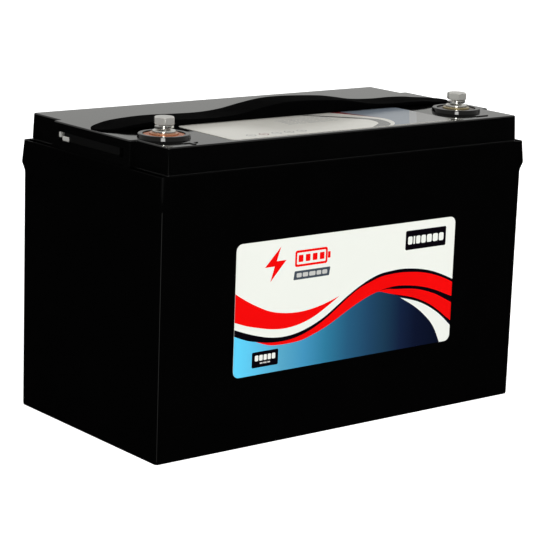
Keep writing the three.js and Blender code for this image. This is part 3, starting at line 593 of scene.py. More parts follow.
def build_lid():
    piece = new_piece("lid_cover", *stack(lid_rings()), [CASE_BLACK])
    outer = (OPENING_LENGTH - 2 * CLEAR, OPENING_WIDTH - 2 * CLEAR, OPENING_CORNER)
    inner = (outer[0] - 2 * TONGUE_WALL, outer[1] - 2 * TONGUE_WALL, OPENING_CORNER)
    upper = (CAVITY_LENGTH, CAVITY_WIDTH, OPENING_CORNER)
    tongue_low_z = SEAL_TOP_Z - TONGUE_DEPTH
    tongue = [(tongue_low_z, *outer), (SEAL_TOP_Z + PAST, *outer)]
    combine(piece, "UNION", level_stack(tongue))
    cavity = [(tongue_low_z - PAST, *inner), (SEAL_TOP_Z + PAST, *inner),
              (CAVITY_STEP_Z, *upper), (LID_PLATE_LOW_Z, *upper)]
    combine(piece, "DIFFERENCE", level_stack(cavity))
    combine(piece, "UNION", raised_mark(PLUS_X, plus_outline(MARK_SIZE / 2, MARK_BAR / 2)))
    combine(piece, "UNION", raised_mark(MINUS_X, rectangle(MARK_SIZE / 2, MARK_BAR / 2, 0.4, steps=3)))
    for side in (-1, 1):
        cut_terminal_well(piece, side)
        cut_clip_pocket(piece, side)
    finish_piece(piece, "case", "case_plastic", "lid")


def cut_terminal_well(lid, side):
    """A boss under the lid with a stepped hole for the insert and its seal ring."""
    boss = [(BOSS_R, BOSS_LOW_Z), (BOSS_R, WELL_FLOOR_Z + PAST)]
    combine(lid, "UNION", turned(side, boss))
    well = [(NECK_R + FIT, BOSS_LOW_Z - PAST), (NECK_R + FIT, WELL_FLOOR_Z),
            (WELL_R, WELL_FLOOR_Z), (WELL_R, LID_TOP_Z + PAST)]
    combine(lid, "DIFFERENCE", turned(side, well))


def cut_clip_pocket(lid, side):
    """The slot in an end face for the strap's clip, and the hole above it for the strap's peg."""
    pocket_z = (POCKET_LOW_Z, POCKET_HIGH_Z)
    outside_x = BLOCK_REACH + 5
    pocket = rounded_bar(side, POCKET_BACK_X, outside_x, POCKET_HALF_WIDTH, pocket_z, radius=1.2)
    combine(lid, "DIFFERENCE", pocket)
    combine(lid, "DIFFERENCE", peg_block(side, CLEAR, (POCKET_HIGH_Z - PAST, LID_TOP_Z + PAST)))


def peg_block(side, gap, z):
    """A box round the place of a strap peg, larger than the peg by a gap on every side."""
    x = span(side, PEG_X - PEG_LENGTH / 2 - gap, PEG_X + PEG_LENGTH / 2 + gap)
    return block(x, (-PEG_WIDTH / 2 - gap, PEG_WIDTH / 2 + gap), z)


# ---- terminals ----
def turned_piece(name, side, corners, reach, material):
    """A closed ring turned about a terminal's axis, with softened corners."""
    profile = soften(corners, reach, loop=True)
    return new_piece(name, *turned(side, profile, loop=True), [material])


def build_collar(prefix, side):
    corners = [(WELL_R, LID_TOP_Z), (COLLAR_R, LID_TOP_Z),
               (COLLAR_R - COLLAR_SLOPE, COLLAR_TOP_Z), (WELL_R, COLLAR_TOP_Z)]
    piece = turned_piece(f"{prefix}_collar_ring", side, corners, [0, 0, 0.6, 0.5], COLLAR_BLACK)
    finish_piece(piece, "case", "case_plastic", f"{prefix}_collar")


def build_seal_ring(prefix, side, material, material_slot):
    """A ring whose top slopes down and outwards in two steps."""
    inner = INSERT_R + FIT
    outer = WELL_R - FIT
    middle = (inner + outer) / 2
    corners = [(inner, WELL_FLOOR_Z), (outer, WELL_FLOOR_Z), (outer, SEAL_RING_TOP_Z - 0.5),
               (middle, SEAL_RING_TOP_Z - 0.15), (inner, SEAL_RING_TOP_Z)]
    piece = turned_piece(f"{prefix}_seal", side, corners, [0, 0, 0.4, 1, 0.3], material)
    finish_piece(piece, "case", material_slot, f"{prefix}_seal_ring")


def build_insert(prefix, side, material):
    """A pad on a neck and a threaded stud, with the bolt's hole in its top."""
    stud_chamfer = 0.7
    bore_chamfer = 0.5
    # Each corner is (radius, z), with how far from it the outline starts to bend.
    profile = [
        ((CORE_R, STUD_LOW_Z), 0),
        ((STUD_R - stud_chamfer, STUD_LOW_Z), 0),
        ((STUD_R, STUD_LOW_Z + stud_chamfer), 0),
        ((STUD_R, NECK_LOW_Z), 0.3),
        ((NECK_R, NECK_LOW_Z), 0.5),
        ((NECK_R, WELL_FLOOR_Z), 0),
        ((INSERT_R, WELL_FLOOR_Z), 0),
        ((INSERT_R, INSERT_TOP_Z), 0.6),
        ((BORE_R + bore_chamfer, INSERT_TOP_Z), 0.1),
        ((BORE_R, INSERT_TOP_Z - bore_chamfer), 0.1),
        ((BORE_R, BORE_LOW_Z), 0),
        ((CORE_R, BORE_LOW_Z), 0),
    ]
    path = soften(*zip(*profile))
    piece = new_piece(f"{prefix}_pad", *turned(side, path), [material])
    finish_piece(piece, "case", "terminal_brass", f"{prefix}_insert")


def build_flat_washer(prefix, side):
    corners = [(BORE_R, INSERT_TOP_Z), (WASHER_R, INSERT_TOP_Z),
               (WASHER_R, WASHER_TOP_Z), (BORE_R, WASHER_TOP_Z)]
    piece = turned_piece(f"{prefix}_washer", side, corners, [0.2, 0.3, 0.5, 0.2], BRIGHT_STEEL)
    finish_piece(piece, f"{prefix}_washers", "bolt_steel", f"{prefix}_flat_washer")


def build_spring_washer(prefix, side):
    """A split ring whose ends stand apart in height."""
    gap = 0.2
    steps = 80
    rise = SPRING_TOP_Z - WASHER_TOP_Z - SPRING_THICK
    middle_r = (BORE_R + SPRING_R) / 2
    section = rectangle((SPRING_R - BORE_R) / 2, SPRING_THICK / 2, 0.3, steps=2)
    rings = []
    for i in range(steps + 1):
        angle = gap / 2 + (2 * math.pi - gap) * i / steps
        z = WASHER_TOP_Z + SPRING_THICK / 2 + rise * i / steps
        rings.append([
            (terminal_x(side) + (middle_r + dr) * math.cos(angle),
             TERMINAL_Y + (middle_r + dr) * math.sin(angle), z + dz)
            for dr, dz in section
        ])
    piece = new_piece(f"{prefix}_split_washer", *stack(rings), [BRIGHT_STEEL])
    finish_piece(piece, f"{prefix}_washers", "bolt_steel", f"{prefix}_spring_washer")


def threaded_shank(x, y, low_z, high_z):
    """A shank with a right-hand thread: its ridge climbs one pitch a turn and fades in at the tip."""
    sides = 40
    steps_per_pitch = 8
    count = int((high_z - low_z) / THREAD_PITCH * steps_per_pitch)
    rings = []
    for level in range(count + 1):
        z = low_z + (high_z - low_z) * level / count
        fade = min(1, level / steps_per_pitch)
        ring = []
        for i in range(sides):
            phase = (z - low_z) / THREAD_PITCH - i / sides
            groove = abs(2 * (phase % 1) - 1)
            radius = STUD_R - THREAD_DEPTH * (groove * fade + 1 - fade)
            angle = 2 * math.pi * i / sides
            ring.append((x + radius * math.cos(angle), y + radius * math.sin(angle), z))
        rings.append(ring)
    return stack(rings)


def build_bolt(prefix, side):
    """A chamfered hexagon head on a thin washer face and a threaded shank."""
    x = terminal_x(side)
    corner_r = HEX_FLATS / math.sqrt(3)
    cone_r = corner_r + 0.3
    face_r = HEX_FLATS / 2 - 0.3
    chamfer = (cone_r - face_r) * math.tan(math.radians(30))
    head_low_z = SPRING_TOP_Z + 0.3
    head = stack([circle(x, TERMINAL_Y, corner_r, z, steps=6) for z in (head_low_z, HEAD_TOP_Z)])
    piece = new_piece(f"{prefix}_hex_bolt", *head, [STEEL])
    cone = [(cone_r, head_low_z - PAST), (cone_r, HEAD_TOP_Z - chamfer),
            (face_r, HEAD_TOP_Z), (face_r - 0.1, HEAD_TOP_Z + 0.02)]
    combine(piece, "INTERSECT", turned(side, cone))
    round_edges(piece, 0.12, angle=20)
    washer_face = [(HEX_FLATS / 2 - 0.5, SPRING_TOP_Z), (HEX_FLATS / 2 - 0.4, head_low_z + 0.2)]
    combine(piece, "UNION", turned(side, washer_face))
    combine(piece, "UNION", threaded_shank(x, TERMINAL_Y, SHANK_LOW_Z, SPRING_TOP_Z + 0.5))
    finish_piece(piece, f"{prefix}_bolt", "bolt_steel", f"{prefix}_bolt")


def build_terminals():
    for prefix, side, resin, material_slot, metal in (
        ("pos", -1, RED_RESIN, "red_resin", BRONZE),
        ("neg", 1, BROWN_RESIN, "black_resin", BRASS),
    ):
        build_collar(prefix, side)
        build_seal_ring(prefix, side, resin, material_slot)
        build_insert(prefix, side, metal)
        build_flat_washer(prefix, side)
        build_spring_washer(prefix, side)
        build_bolt(prefix, side)


# ---- strap ----
strap_top = smooth_line(STRAP_TOP)
strap_underside = smooth_line(STRAP_UNDERSIDE)


def strap_half_width(x):
    """Full width, closing to a half ellipse at each tip."""
    past = (abs(x) - (STRAP_TIP_X - STRAP_TIP_LENGTH)) / STRAP_TIP_LENGTH
    if past <= 0:
        return STRAP_HALF_WIDTH
    return STRAP_HALF_WIDTH * math.sqrt(max(0, 1 - past ** 2))


def strap_ring(x):
    """The strap's cross-section at x."""
    half = strap_half_width(x)
    low = LID_TOP_Z + strap_underside(x)
    top = LID_TOP_Z + strap_top(x)
    thick = top - low
    edge = min(STRAP_EDGE, thick * 0.42, half * 0.9)
    outline = rectangle(half, thick / 2, edge, steps=5)
    return [(x, y, (low + top) / 2 + dz) for y, dz in outline]


def strap_stations(from_x, to_x):
    """Places for cross-sections, closer together round a tip."""
    spacing = 2
    tip_steps = 14
    centre = STRAP_TIP_X - STRAP_TIP_LENGTH
    count = int((to_x - from_x) / spacing)
    stations = [from_x + (to_x - from_x) * i / count for i in range(count + 1)]
    stations = [x for x in stations if abs(x) < centre]
    side = 1 if from_x + to_x > 0 else -1
    if max(abs(from_x), abs(to_x)) > centre:
        arc = [math.pi / 2 * i / tip_steps for i in range(tip_steps)]
        stations += [side * (centre + STRAP_TIP_LENGTH * math.sin(a)) for a in arc]
    return sorted(set(round(x, 4) for x in stations))


def strap_solid(from_x, to_x):
    return stack([strap_ring(x) for x in strap_stations(from_x, to_x)])


def build_strap_side(name, side, grip_x, nodes):
    """One end pad and its leg in one piece, with the peg that hooks it into the lid."""
    tip = side * STRAP_TIP_X
    near = grip_x + side * SEAM
    piece = new_piece(f"strap_{name}_rubber", *strap_solid(min(tip, near), max(tip, near)), [STRAP_BLACK])
    combine(piece, "UNION", peg_block(side, 0, (POCKET_LOW_Z + 1, LID_TOP_Z + 0.4)))
    finish_piece(piece, None, "strap_rubber", *nodes)
    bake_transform(piece)


def build_clip(name, side):
    """A bar pushed into the lid's pocket, with a hole for the strap's peg and two plated tabs."""
    bar_z = (POCKET_LOW_Z + FIT, POCKET_HIGH_Z - FIT)
    bar = rounded_bar(side, POCKET_BACK_X + FIT, CLIP_FACE_X, CLIP_HALF_WIDTH, bar_z, radius=0.8)
    piece = new_piece(f"strap_clip_{name}_bar", *bar, [INNER_BLACK])
    combine(piece, "DIFFERENCE", peg_block(side, FIT, (POCKET_LOW_Z + 0.7, POCKET_HIGH_Z + PAST)))
    round_edges(piece, 0.3)
    finish_piece(piece, "case", "case_plastic", f"strap_clip_{name}")
    tab_x = span(side, CLIP_FACE_X - 4, CLIP_FACE_X + 0.5)
    for i, (tab_y, tab_z) in enumerate(CLIP_TABS):
        tab = new_piece(f"strap_clip_{name}_tab_{i + 1}", *block(tab_x, tab_y, tab_z), [STEEL])
        round_edges(tab, 0.4)
        finish_piece(tab, "case", "case_plastic")


def build_strap():
    grip = new_piece("strap_grip_rubber", *strap_solid(GRIP_LEFT_X, GRIP_RIGHT_X), [STRAP_BLACK])
    combine(grip, "DIFFERENCE", block(*GRIP_HOLLOW))
    finish_piece(grip, "handle_grip", "strap_rubber", "handle_grip")
    build_strap_side("left", -1, GRIP_LEFT_X, ["strap_left", "strap_end_left"])
    build_strap_side("right", 1, GRIP_RIGHT_X, ["strap_right", "strap_end_right"])
    build_clip("left", -1)
    build_clip("right", 1)


# ---- labels ----
def on_front(along, up, depth):
    """A point of the front label: along and up from its lower middle, depth out from the wall."""
    return LABEL_X + along, -BODY_WIDTH / 2 - depth, FRONT_LABEL_LOW_Z + up


def on_top(along, up, depth):
    return LABEL_X + along, TOP_LABEL_FRONT_Y + up, LID_TOP_Z + depth


def edge_gap(position, low, high):
    """How far a rounded label corner stands in from the straight edge at this position."""
    past = LABEL_CORNER - min(position - low, high - position)
    if past <= 0:
        return 0
    return LABEL_CORNER - math.sqrt(max(0, LABEL_CORNER ** 2 - past ** 2))


def label_rows(low, high, spacing):
    """Positions across a label, closer together where its corners curve."""
    count = int((high - low) / spacing)
    rows = [low + (high - low) * i / count for i in range(count + 1)]
    steps = 8
    corner = [LABEL_CORNER * (1 - math.cos(math.pi / 2 * i / steps)) for i in range(steps + 1)]
    inner = [x for x in rows if low + LABEL_CORNER < x < high - LABEL_CORNER]
    return sorted([low + c for c in corner] + inner + [high - c for c in corner])


def banded_sheet(rows, bounds, colours, place):
    """A thin closed sheet whose face is split into printed bands.

    bounds(row) gives the rising edges of the bands at one row; where two edges meet the band ends.
    """
    same = 0.01
    vertices = []
    index = []
    for row in rows:
        edges = bounds(row)
        line = []
        for i, value in enumerate(edges):
            value = min(max(value, edges[0]), edges[-1])
            if i and value < line[-1][1] + same:
                line.append(line[-1])
                continue
            line.append((len(vertices), value))
            vertices.append(place(row, value, LABEL_THICK))
        index.append([entry[0] for entry in line])
    faces = []
    bands = []
    for here, there in zip(index, index[1:]):
        for band, colour in enumerate(colours):
            loop = [here[band], there[band], there[band + 1], here[band + 1]]
            corners = [v for i, v in enumerate(loop) if v != loop[i - 1]]
            if len(corners) > 2:
                faces.append(corners)
                bands.append(colour)
    border = [line[0] for line in index] + unique(index[-1])[1:]
    border += [line[-1] for line in reversed(index[:-1])] + unique(index[0])[-2:0:-1]
    back = len(vertices)
    behind_first = place(rows[0], bounds(rows[0])[0], 0)
    step = [a - b for a, b in zip(behind_first, vertices[index[0][0]])]
    vertices += [tuple(c + s for c, s in zip(vertices[v], step)) for v in border]
    count = len(border)
    for i in range(count):
        after = (i + 1) % count
        faces.append((border[i], border[after], back + after, back + i))
        bands.append(WHITE)
    faces.append(tuple(range(back, back + count)))
    bands.append(WHITE)
    return vertices, faces, bands


def unique(values):
    """The values without neighbours that are alike."""
    return [v for i, v in enumerate(values) if i == 0 or v != values[i - 1]]


# Edges of the front label's sweep, a red crescent and a double red line over a blue foot with a white
# cusp at its right: (along, share of the label's height).
CRESCENT_TOP = smooth_line([
    (-100.5, 0.635), (-90, 0.567), (-80, 0.512), (-70, 0.467), (-60, 0.442), (-50, 0.43), (-40, 0.43),
    (-30, 0.442), (-20, 0.465), (-8, 0.502),
])
CRESCENT_LOW = smooth_line([
    (-100.5, 0.422), (-90, 0.382), (-80, 0.355), (-70, 0.332), (-60, 0.32), (-50, 0.323), (-40, 0.342),
    (-30, 0.377), (-20, 0.43), (-8, 0.502),
])
MAIN_LINE_TOP = smooth_line([
    (-100.5, 0.368), (-90, 0.327), (-80, 0.294), (-70, 0.269), (-60, 0.258), (-50, 0.262), (-40, 0.282),
    (-30, 0.317), (-20, 0.365), (-10, 0.43), (0, 0.495), (10, 0.552), (20, 0.597), (30, 0.627),
    (40, 0.637), (50, 0.64), (60, 0.631), (70, 0.614), (80, 0.587), (90, 0.548), (100.5, 0.499),
])
MAIN_LINE_LOW = smooth_line([
    (-100.5, 0.318), (-90, 0.274), (-80, 0.248), (-70, 0.23), (-60, 0.224), (-50, 0.23), (-40, 0.252),
    (-30, 0.29), (-20, 0.342), (-10, 0.408), (0, 0.477), (10, 0.536), (20, 0.573), (30, 0.602),
    (40, 0.611), (50, 0.612), (60, 0.603), (70, 0.588), (80, 0.562), (90, 0.525), (100.5, 0.475),
])
UPPER_RED = smooth_line([
    (-100.5, 0.34), (-90, 0.292), (-84, 0.266), (-80, 0.245), (-70, 0.21), (-60, 0.2), (-50, 0.2),
    (-40, 0.21), (-30, 0.24), (-20, 0.277), (-10, 0.326), (0, 0.379), (10, 0.427), (20, 0.467),
    (30, 0.494), (37, 0.506), (45, 0.511), (55, 0.503), (65, 0.487), (75, 0.462), (85, 0.427),
    (95, 0.383), (100.5, 0.36),
])
SECOND_RED_TOP = smooth_line([
    (30, 0.494), (37, 0.497), (45, 0.487), (55, 0.477), (65, 0.462), (75, 0.433), (85, 0.394),
    (95, 0.34), (100.5, 0.31),
])
SECOND_RED_LOW = smooth_line([
    (30, 0.487), (40, 0.457), (50, 0.432), (60, 0.406), (70, 0.368), (80, 0.316), (90, 0.246),
    (95, 0.205), (100.5, 0.165),
])
CUSP_TOP = smooth_line([(50, 0.412), (60, 0.384), (70, 0.347), (80, 0.293), (90, 0.222), (100.5, 0.125)])
CUSP_LOW = smooth_line([
    (50, 0.412), (55, 0.382), (60, 0.352), (65, 0.318), (70, 0.28), (75, 0.235), (80, 0.185),
    (85, 0.115), (90, 0.01), (90.5, 0),
])
LOW_LINE_THICK = 0.021
LOW_LINE_START = 42
LOW_LINE_FULL = 60
CRESCENT_END = -8


def front_bounds(along):
    """Rising edges of the front label's bands at one place along it; each stays under the one above."""
    height = FRONT_LABEL_HEIGHT
    gap = edge_gap(along, -LABEL_HALF_LENGTH, LABEL_HALF_LENGTH)
    main_low = MAIN_LINE_LOW(along)
    upper = min(UPPER_RED(along), main_low)
    second_top = min(SECOND_RED_TOP(along), upper)
    second_low = min(SECOND_RED_LOW(along), second_top)
    swell = (along - LOW_LINE_START) / (LOW_LINE_FULL - LOW_LINE_START)
    line_low = second_low - LOW_LINE_THICK * min(1, max(0, swell))
    cusp_top = min(CUSP_TOP(along), line_low)
    cusp_low = min(CUSP_LOW(along), cusp_top)
    crescent = [CRESCENT_LOW(along), CRESCENT_TOP(along)]
    if along >= CRESCENT_END:
        crescent = [MAIN_LINE_TOP(along) + 0.1] * 2
    shares = [cusp_low, cusp_top, line_low, second_low, second_top, upper, main_low,
              MAIN_LINE_TOP(along)] + crescent
    return [gap] + [height * share for share in shares] + [height - gap]


FRONT_BANDS = [BLUE, WHITE, BLUE, DARK, RED, DARK, RED, DARK, WHITE, RED, WHITE]

# Edges of the top label's sweep: (share of its depth, along).
TOP_FIELD = smooth_line([(0, 22), (0.1, 31.5), (0.18, 38), (0.29, 41.5), (0.43, 41.5), (0.54, 36), (1, 8)])
TOP_ARC = smooth_line([(0, 38), (0.1, 45), (0.25, 49.5), (0.4, 50), (0.52, 45), (0.75, 30), (1, 12)])
TOP_SHARED = [(0, 42), (0.06, 46.5), (0.14, 51), (0.26, 55), (0.41, 56.5)]
TOP_PALE = smooth_line(TOP_SHARED + [(0.5, 54), (0.8, 45), (1, 36)])
TOP_RED = smooth_line(TOP_SHARED + [(0.6, 53), (0.8, 49), (1, 46)])
TOP_BLUE = smooth_line([(0, 57), (1, 116)])
# Width of a pale stripe beside the blue band, a painted highlight: the sheen of a soft light on the top
# label's gloss, painted into its colours.
TOP_PAINTED_SHEEN_WIDTH = 7


def top_bounds(up):
    """Edges of the top label's bands, from left to right, at one distance from its front edge."""
    gap = edge_gap(up, 0, TOP_LABEL_DEPTH)
    share = up / TOP_LABEL_DEPTH
    blue = TOP_BLUE(share)
    inner = [TOP_FIELD(share), TOP_ARC(share), TOP_PALE(share), TOP_RED(share), blue, blue + TOP_PAINTED_SHEEN_WIDTH]
    return [gap - LABEL_HALF_LENGTH] + inner + [LABEL_HALF_LENGTH - gap]


# The PALE band between BLUE and SLATE is that painted highlight stripe.
TOP_BANDS = [WHITE, DARK, WHITE, RED, BLUE, PALE, SLATE]


def plate(centre, size, radius=0.5, lean=0.0):
    """A rounded rectangle on a label, sheared sideways by lean."""
    outline = rectangle(size[0] / 2, size[1] / 2, radius, steps=3)
    return [(centre[0] + x + lean * y, centre[1] + y) for x, y in outline]


def disc(centre, radius):
    return [(x, y) for x, y, z in circle(*centre, radius, 0, steps=48)]


def bolt_symbol(centre, size):
    """A plain lightning bolt, the usual sign for electricity."""
    shape = [(0.25, 1), (-0.55, -0.12), (-0.05, -0.12), (-0.25, -1), (0.55, 0.18), (0.05, 0.18)]
    return [(centre[0] + x * size[0], centre[1] + y * size[1]) for x, y in shape]


def bar_row(centre, widths, height, space, colour, layer=1):
    """A row of short bars that stands where a line of words would be."""
    total = sum(widths) + space * (len(widths) - 1)
    left = centre[0] - total / 2
    row = []
    for width in widths:
        bar = plate((left + width / 2, centre[1]), (width, height), min(width, height) * 0.25)
        row.append((bar, colour, layer))
        left += width + space
    return row


def front_ink():
    """Layers of plain shapes on the front label: (outline, colour, layer)."""
    battery = (-35, 78.3)
    banner = (-34, 66.5)
    upper_badge = (72, 80.4)
    lower_badge = (-73.1, 10.7)
    ink = [
        (bolt_symbol((-66.5, 76.5), (17, 12)), RED, 0),
        (plate(battery, (29, 11.6), 1.6), RED, 0),
        (plate(battery, (25.6, 8.2), 0.7), WHITE, 1),
        (plate((battery[0] + 16, battery[1]), (2.4, 4.6), 0.5), RED, 0),
        (plate(banner, (32, 6.2), 0.6, lean=0.15), SLATE, 0),
        (plate(upper_badge, (39.3, 14.2), 1.2), DARK, 0),
        (plate(lower_badge, (23, 11.2), 1), DARK, 0),
    ]
    ink += [(plate((-44.4 + 6.3 * i, battery[1]), (4.2, 5), 0.5), RED, 2) for i in range(4)]
    ink += bar_row(banner, [4.4, 4.8, 5.6, 4.2, 4.4], 3, 1, PALE)
    ink += bar_row((72, 80.2), [4.2, 1.6, 4, 4.4, 4.8, 5, 4.6], 5.8, 1, WHITE)
    ink += bar_row((-73.1, 11.8), [3, 3, 2.8, 2.8, 3], 4, 0.8, WHITE)
    ink += bar_row((-73.1, 8), [2.4, 3, 2.4], 1, 0.6, PALE)
    return ink


def top_ink():
    """Pale signs and lines of small print on the top label."""
    ink = []
    for i, colour in enumerate([PALE, RED, PALE, SLATE, PALE]):
        centre = (-78 + 11 * i, 10)
        ink.append((disc(centre, 3.6), colour, 0))
        ink.append((disc(centre, 2.9), WHITE, 1))
        ink.append((plate(centre, (3, 0.9), 0.2), colour, 2))
    for line in range(5):
        widths = [9, 6, 11, 7 + line, 8 - line]
        ink += bar_row((-2, 52 - 4 * line), widths, 0.8, 1.2, PALE, layer=0)
    return ink


def inked_shapes(ink, place):
    """Thin closed plates on a label's face, one for each printed shape."""
    vertices = []
    faces = []
    bands = []
    for outline, colour, layer in ink:
        low = LABEL_THICK + layer * INK_THICK
        rings = [[place(x, y, depth) for x, y in outline] for depth in (low, low + INK_THICK)]
        base = len(vertices)
        solid_vertices, solid_faces = stack(rings)
        vertices += solid_vertices
        faces += [tuple(base + v for v in face) for face in solid_faces]
        bands += [colour] * len(solid_faces)
    return vertices, faces, bands


def build_label(name, rows, bounds, colours, ink, place, sheet_place, finishes):
    """A label's banded sheet and, as a piece of its own, the shapes printed on it."""
    vertices, faces, bands = banded_sheet(rows, bounds, colours, sheet_place)
    sheet = new_piece(f"{name}_sheet", vertices, faces, finishes, bands)
    finish_piece(sheet, "case", "label_film", name)
    vertices, faces, bands = inked_shapes(ink, place)
    print_layer = new_piece(f"{name}_print", vertices, faces, finishes, bands)
    finish_piece(print_layer, "case", "label_film")


def build_labels():
    """The front label is banded upwards, column by column, and the top label along, row by row."""
    columns = label_rows(-LABEL_HALF_LENGTH, LABEL_HALF_LENGTH, spacing=1)
    build_label("front_label", columns, front_bounds, FRONT_BANDS, front_ink(), on_front, on_front,
                LABEL_COLOURS)
    rows = label_rows(0, TOP_LABEL_DEPTH, spacing=1)
    build_label("top_label", rows, top_bounds, TOP_BANDS, top_ink(), on_top,
                lambda up, along, depth: on_top(along, up, depth), TOP_LABEL_COLOURS)


# ---- the inside, kept as CAD nodes ----
def dress(names, material, edge=0.3):
    """Gives CAD nodes a finish and slightly rounded edges."""
    for name in names:
        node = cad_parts[name]
        node.data.materials.clear()
        node.data.materials.append(material)
        edges = bevel(node, edge, angle=40)
        edges.harden_normals = True


def dress_inside():
    sleeve = surface("cell_sleeve", (0.02, 0.09, 0.32), 0.35, mottle=(40, 0.15), grain=(500, 0.05))
    aluminium = surface("frame_aluminium", (0.6, 0.61, 0.63), 0.38, metallic=1, mottle=(90, 0.12),
                        grain=(900, 0.12), stretch=(1, 1, 0.1))
    foam = surface("foam", (0.045, 0.047, 0.05), 0.95, mottle=(300, 0.5), grain=(1100, 0.9))
    sheet = surface("fibre_sheet", (0.55, 0.5, 0.33), 0.8, mottle=(120, 0.15), grain=(1400, 0.3))
    copper = surface("busbar_copper", (0.75, 0.36, 0.2), 0.3, metallic=1, mottle=(80, 0.2),
                     grain=(900, 0.1))
    board = surface("board_laminate", (0.01, 0.11, 0.035), 0.4, mottle=(250, 0.3), grain=(1200, 0.15))
    red_cable = surface("red_cable", (0.5, 0.015, 0.01), 0.45, mottle=(60, 0.15), grain=(700, 0.1))
    black_cable = surface("black_cable", (0.01, 0.01, 0.01), 0.45, mottle=(60, 0.3), grain=(700, 0.1))
    wire = surface("wire_white", (0.7, 0.7, 0.68), 0.5, mottle=(60, 0.08), grain=(700, 0.1))
    dress([f"cell_{i}" for i in range(1, 5)], sleeve, 0.6)
    dress([f"cell_spacer_{i}" for i in range(1, 4)] + ["cover_sheet"], sheet, 0.2)
    dress(["end_plate_left", "end_plate_right", "board_tray", "heat_sink"], aluminium)
    dress(["end_foam_left", "end_foam_right", "base_pad"], foam, 0.8)
    dress(["pack_band_lower", "pack_band_upper", "pos_lug_nut", "neg_lug_nut"], STEEL, 0.1)
    dress(["busbar_1_2", "busbar_2_3", "busbar_3_4", "current_shunt"], copper, 0.2)
    dress(["management_board"], board, 0.2)
    dress(["positive_cable"], red_cable, 0.1)
    dress(["cell_negative_cable", "output_negative_cable"], black_cable, 0.1)
    dress(["balance_socket", "sense_wires_rear", "sense_wires_front", "temperature_sensor"], wire, 0.1)


# ---- studio ----
SOFT_STRENGTH = 0.6  # what lights the object from all round
SKY_STRENGTH = 0.58  # what it mirrors above the horizon
HORIZON = (-0.02, 0.06)  # heights between which the mirrored sky fades in
CARD_EDGE = (0.985, 0.995)  # closeness to a card's direction between which the card fades in
# Bright cards seen only in reflections: (direction, strength).
CARDS = [((-0.61, -0.76, 0.23), 18), ((-0.61, -0.76, -0.22), 2.5)]


def build_world():
    """White to the eye and as soft light.

    Reflections are pale above the horizon and black below it, but for two small bright cards on the
    camera's side. They draw the small lights on the corners and round the terminals.
    """
    world = bpy.data.worlds.new("studio")
    bpy.context.scene.world = world
    world.use_nodes = True
    tree = world.node_tree
    tree.nodes.clear()
    path = add_node(tree, "LightPath")
    direction = add_node(tree, "TexCoord").outputs["Generated"]
    split = add_node(tree, "SeparateXYZ", sources={"Vector": direction})

    def fade_in(value, edge, strength):
        limits = {"From Min": edge[0], "From Max": edge[1], "To Max": strength}
        return add_node(tree, "MapRange", limits, {"Value": value}).outputs["Result"]

    def choose(ray, otherwise, chosen):
        sources = {"Fac": path.outputs[ray], 1: otherwise.outputs[0], 2: chosen.outputs[0]}
        return add_node(tree, "MixShader", sources=sources)

    mirrored = fade_in(split.outputs["Z"], HORIZON, SKY_STRENGTH)
    for card_direction, brightness in CARDS:
        facing = add_node(tree, "VectorMath", {1: card_direction}, {0: direction})
        facing.operation = "DOT_PRODUCT"
        card = fade_in(facing.outputs["Value"], CARD_EDGE, brightness)
        total = add_node(tree, "Math", sources={0: mirrored, 1: card})
        total.operation = "ADD"
        mirrored = total.outputs["Value"]
    soft = add_node(tree, "Background", {"Color": (1, 1, 1, 1), "Strength": SOFT_STRENGTH})
    reflected = add_node(tree, "Background", {"Color": (1, 1, 0.97, 1)}, {"Strength": mirrored})
    seen = add_node(tree, "Background", {"Color": (1, 1, 1, 1), "Strength": 1})
    result = choose("Is Camera Ray", choose("Is Glossy Ray", soft, reflected), seen)
    add_node(tree, "OutputWorld", sources={"Surface": result.outputs["Shader"]})


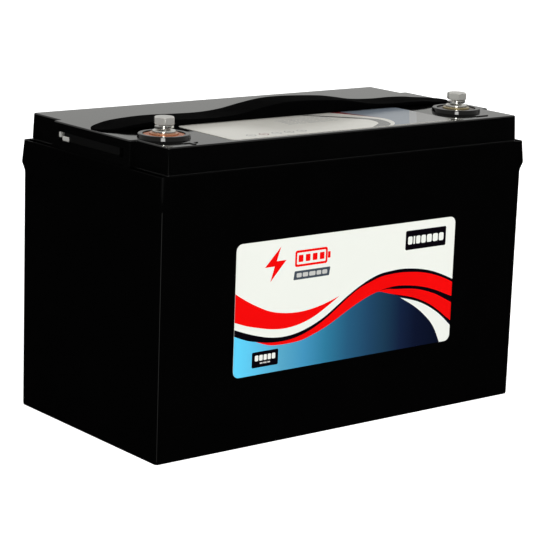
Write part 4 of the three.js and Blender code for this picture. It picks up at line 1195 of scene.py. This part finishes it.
def build_floor():
    """A pale floor that no reflection shows."""
    half = 20
    mesh = bpy.data.meshes.new("floor")
    corners = [(-half, -half, 0), (half, -half, 0), (half, half, 0), (-half, half, 0)]
    mesh.from_pydata(corners, [], [(0, 1, 2, 3)])
    floor = add_object("floor", mesh)
    material = bpy.data.materials.new("floor_white")
    material.use_nodes = True
    principled = material.node_tree.nodes["Principled BSDF"]
    set_inputs(principled, {
        "Base Color": (0.8, 0.8, 0.8, 1),
        "Roughness": 1,
        "Specular IOR Level": 0,
        "Emission Color": (1, 1, 1, 1),
        "Emission Strength": 0.9,
    })
    mesh.materials.append(material)
    floor.visible_glossy = False


def soft_light(name, place, target, size, power):
    """A rectangular lamp, in metres and watts, that is seen neither directly nor in reflections."""
    data = bpy.data.lights.new(name, "AREA")
    data.energy = power
    data.shape = "RECTANGLE"
    data.size, data.size_y = size
    light = add_object(name, data)
    light.location = place
    light.rotation_mode = "QUATERNION"
    light.rotation_quaternion = (Vector(target) - Vector(place)).to_track_quat("-Z", "Y")
    light.visible_glossy = False
    light.visible_camera = False


def build_camera():
    """A long lens at the left front corner, a little above the lid."""
    azimuth = math.radians(-38.763)
    elevation = math.radians(13.049)
    roll = math.radians(2.039)
    distance = 1537.5
    target = Vector((0.627, 0, 94.954))
    back = Vector((
        math.sin(azimuth) * math.cos(elevation),
        -math.cos(azimuth) * math.cos(elevation),
        math.sin(elevation),
    ))
    level_x = Vector((0, 0, 1)).cross(back).normalized()
    level_y = back.cross(level_x)
    right = level_x * math.cos(roll) + level_y * math.sin(roll)
    up = level_y * math.cos(roll) - level_x * math.sin(roll)
    data = bpy.data.cameras.new("camera")
    data.sensor_width = 36
    data.lens = 136.223
    data.clip_start = 0.05
    data.clip_end = 60
    camera = add_object("camera", data)
    place = (target + back * distance) * MM
    matrix = camera.matrix_world.copy()
    for row in range(3):
        matrix[row] = (right[row], up[row], back[row], place[row])
    camera.matrix_world = matrix
    bpy.context.scene.camera = camera


def build_studio():
    build_world()
    build_floor()
    middle = (0, 0, 0.1)
    soft_light("key", (-1.2, -1.8, 1.6), middle, size=(1.6, 1.2), power=12.5)
    soft_light("fill", (1.6, -1.4, 0.9), middle, size=(1.4, 1.4), power=5)
    build_camera()
    bpy.context.scene.view_settings.view_transform = "Standard"


build_container()
build_lid_seal()
build_lid()
build_terminals()
build_strap()
build_labels()
dress_inside()
build_studio()
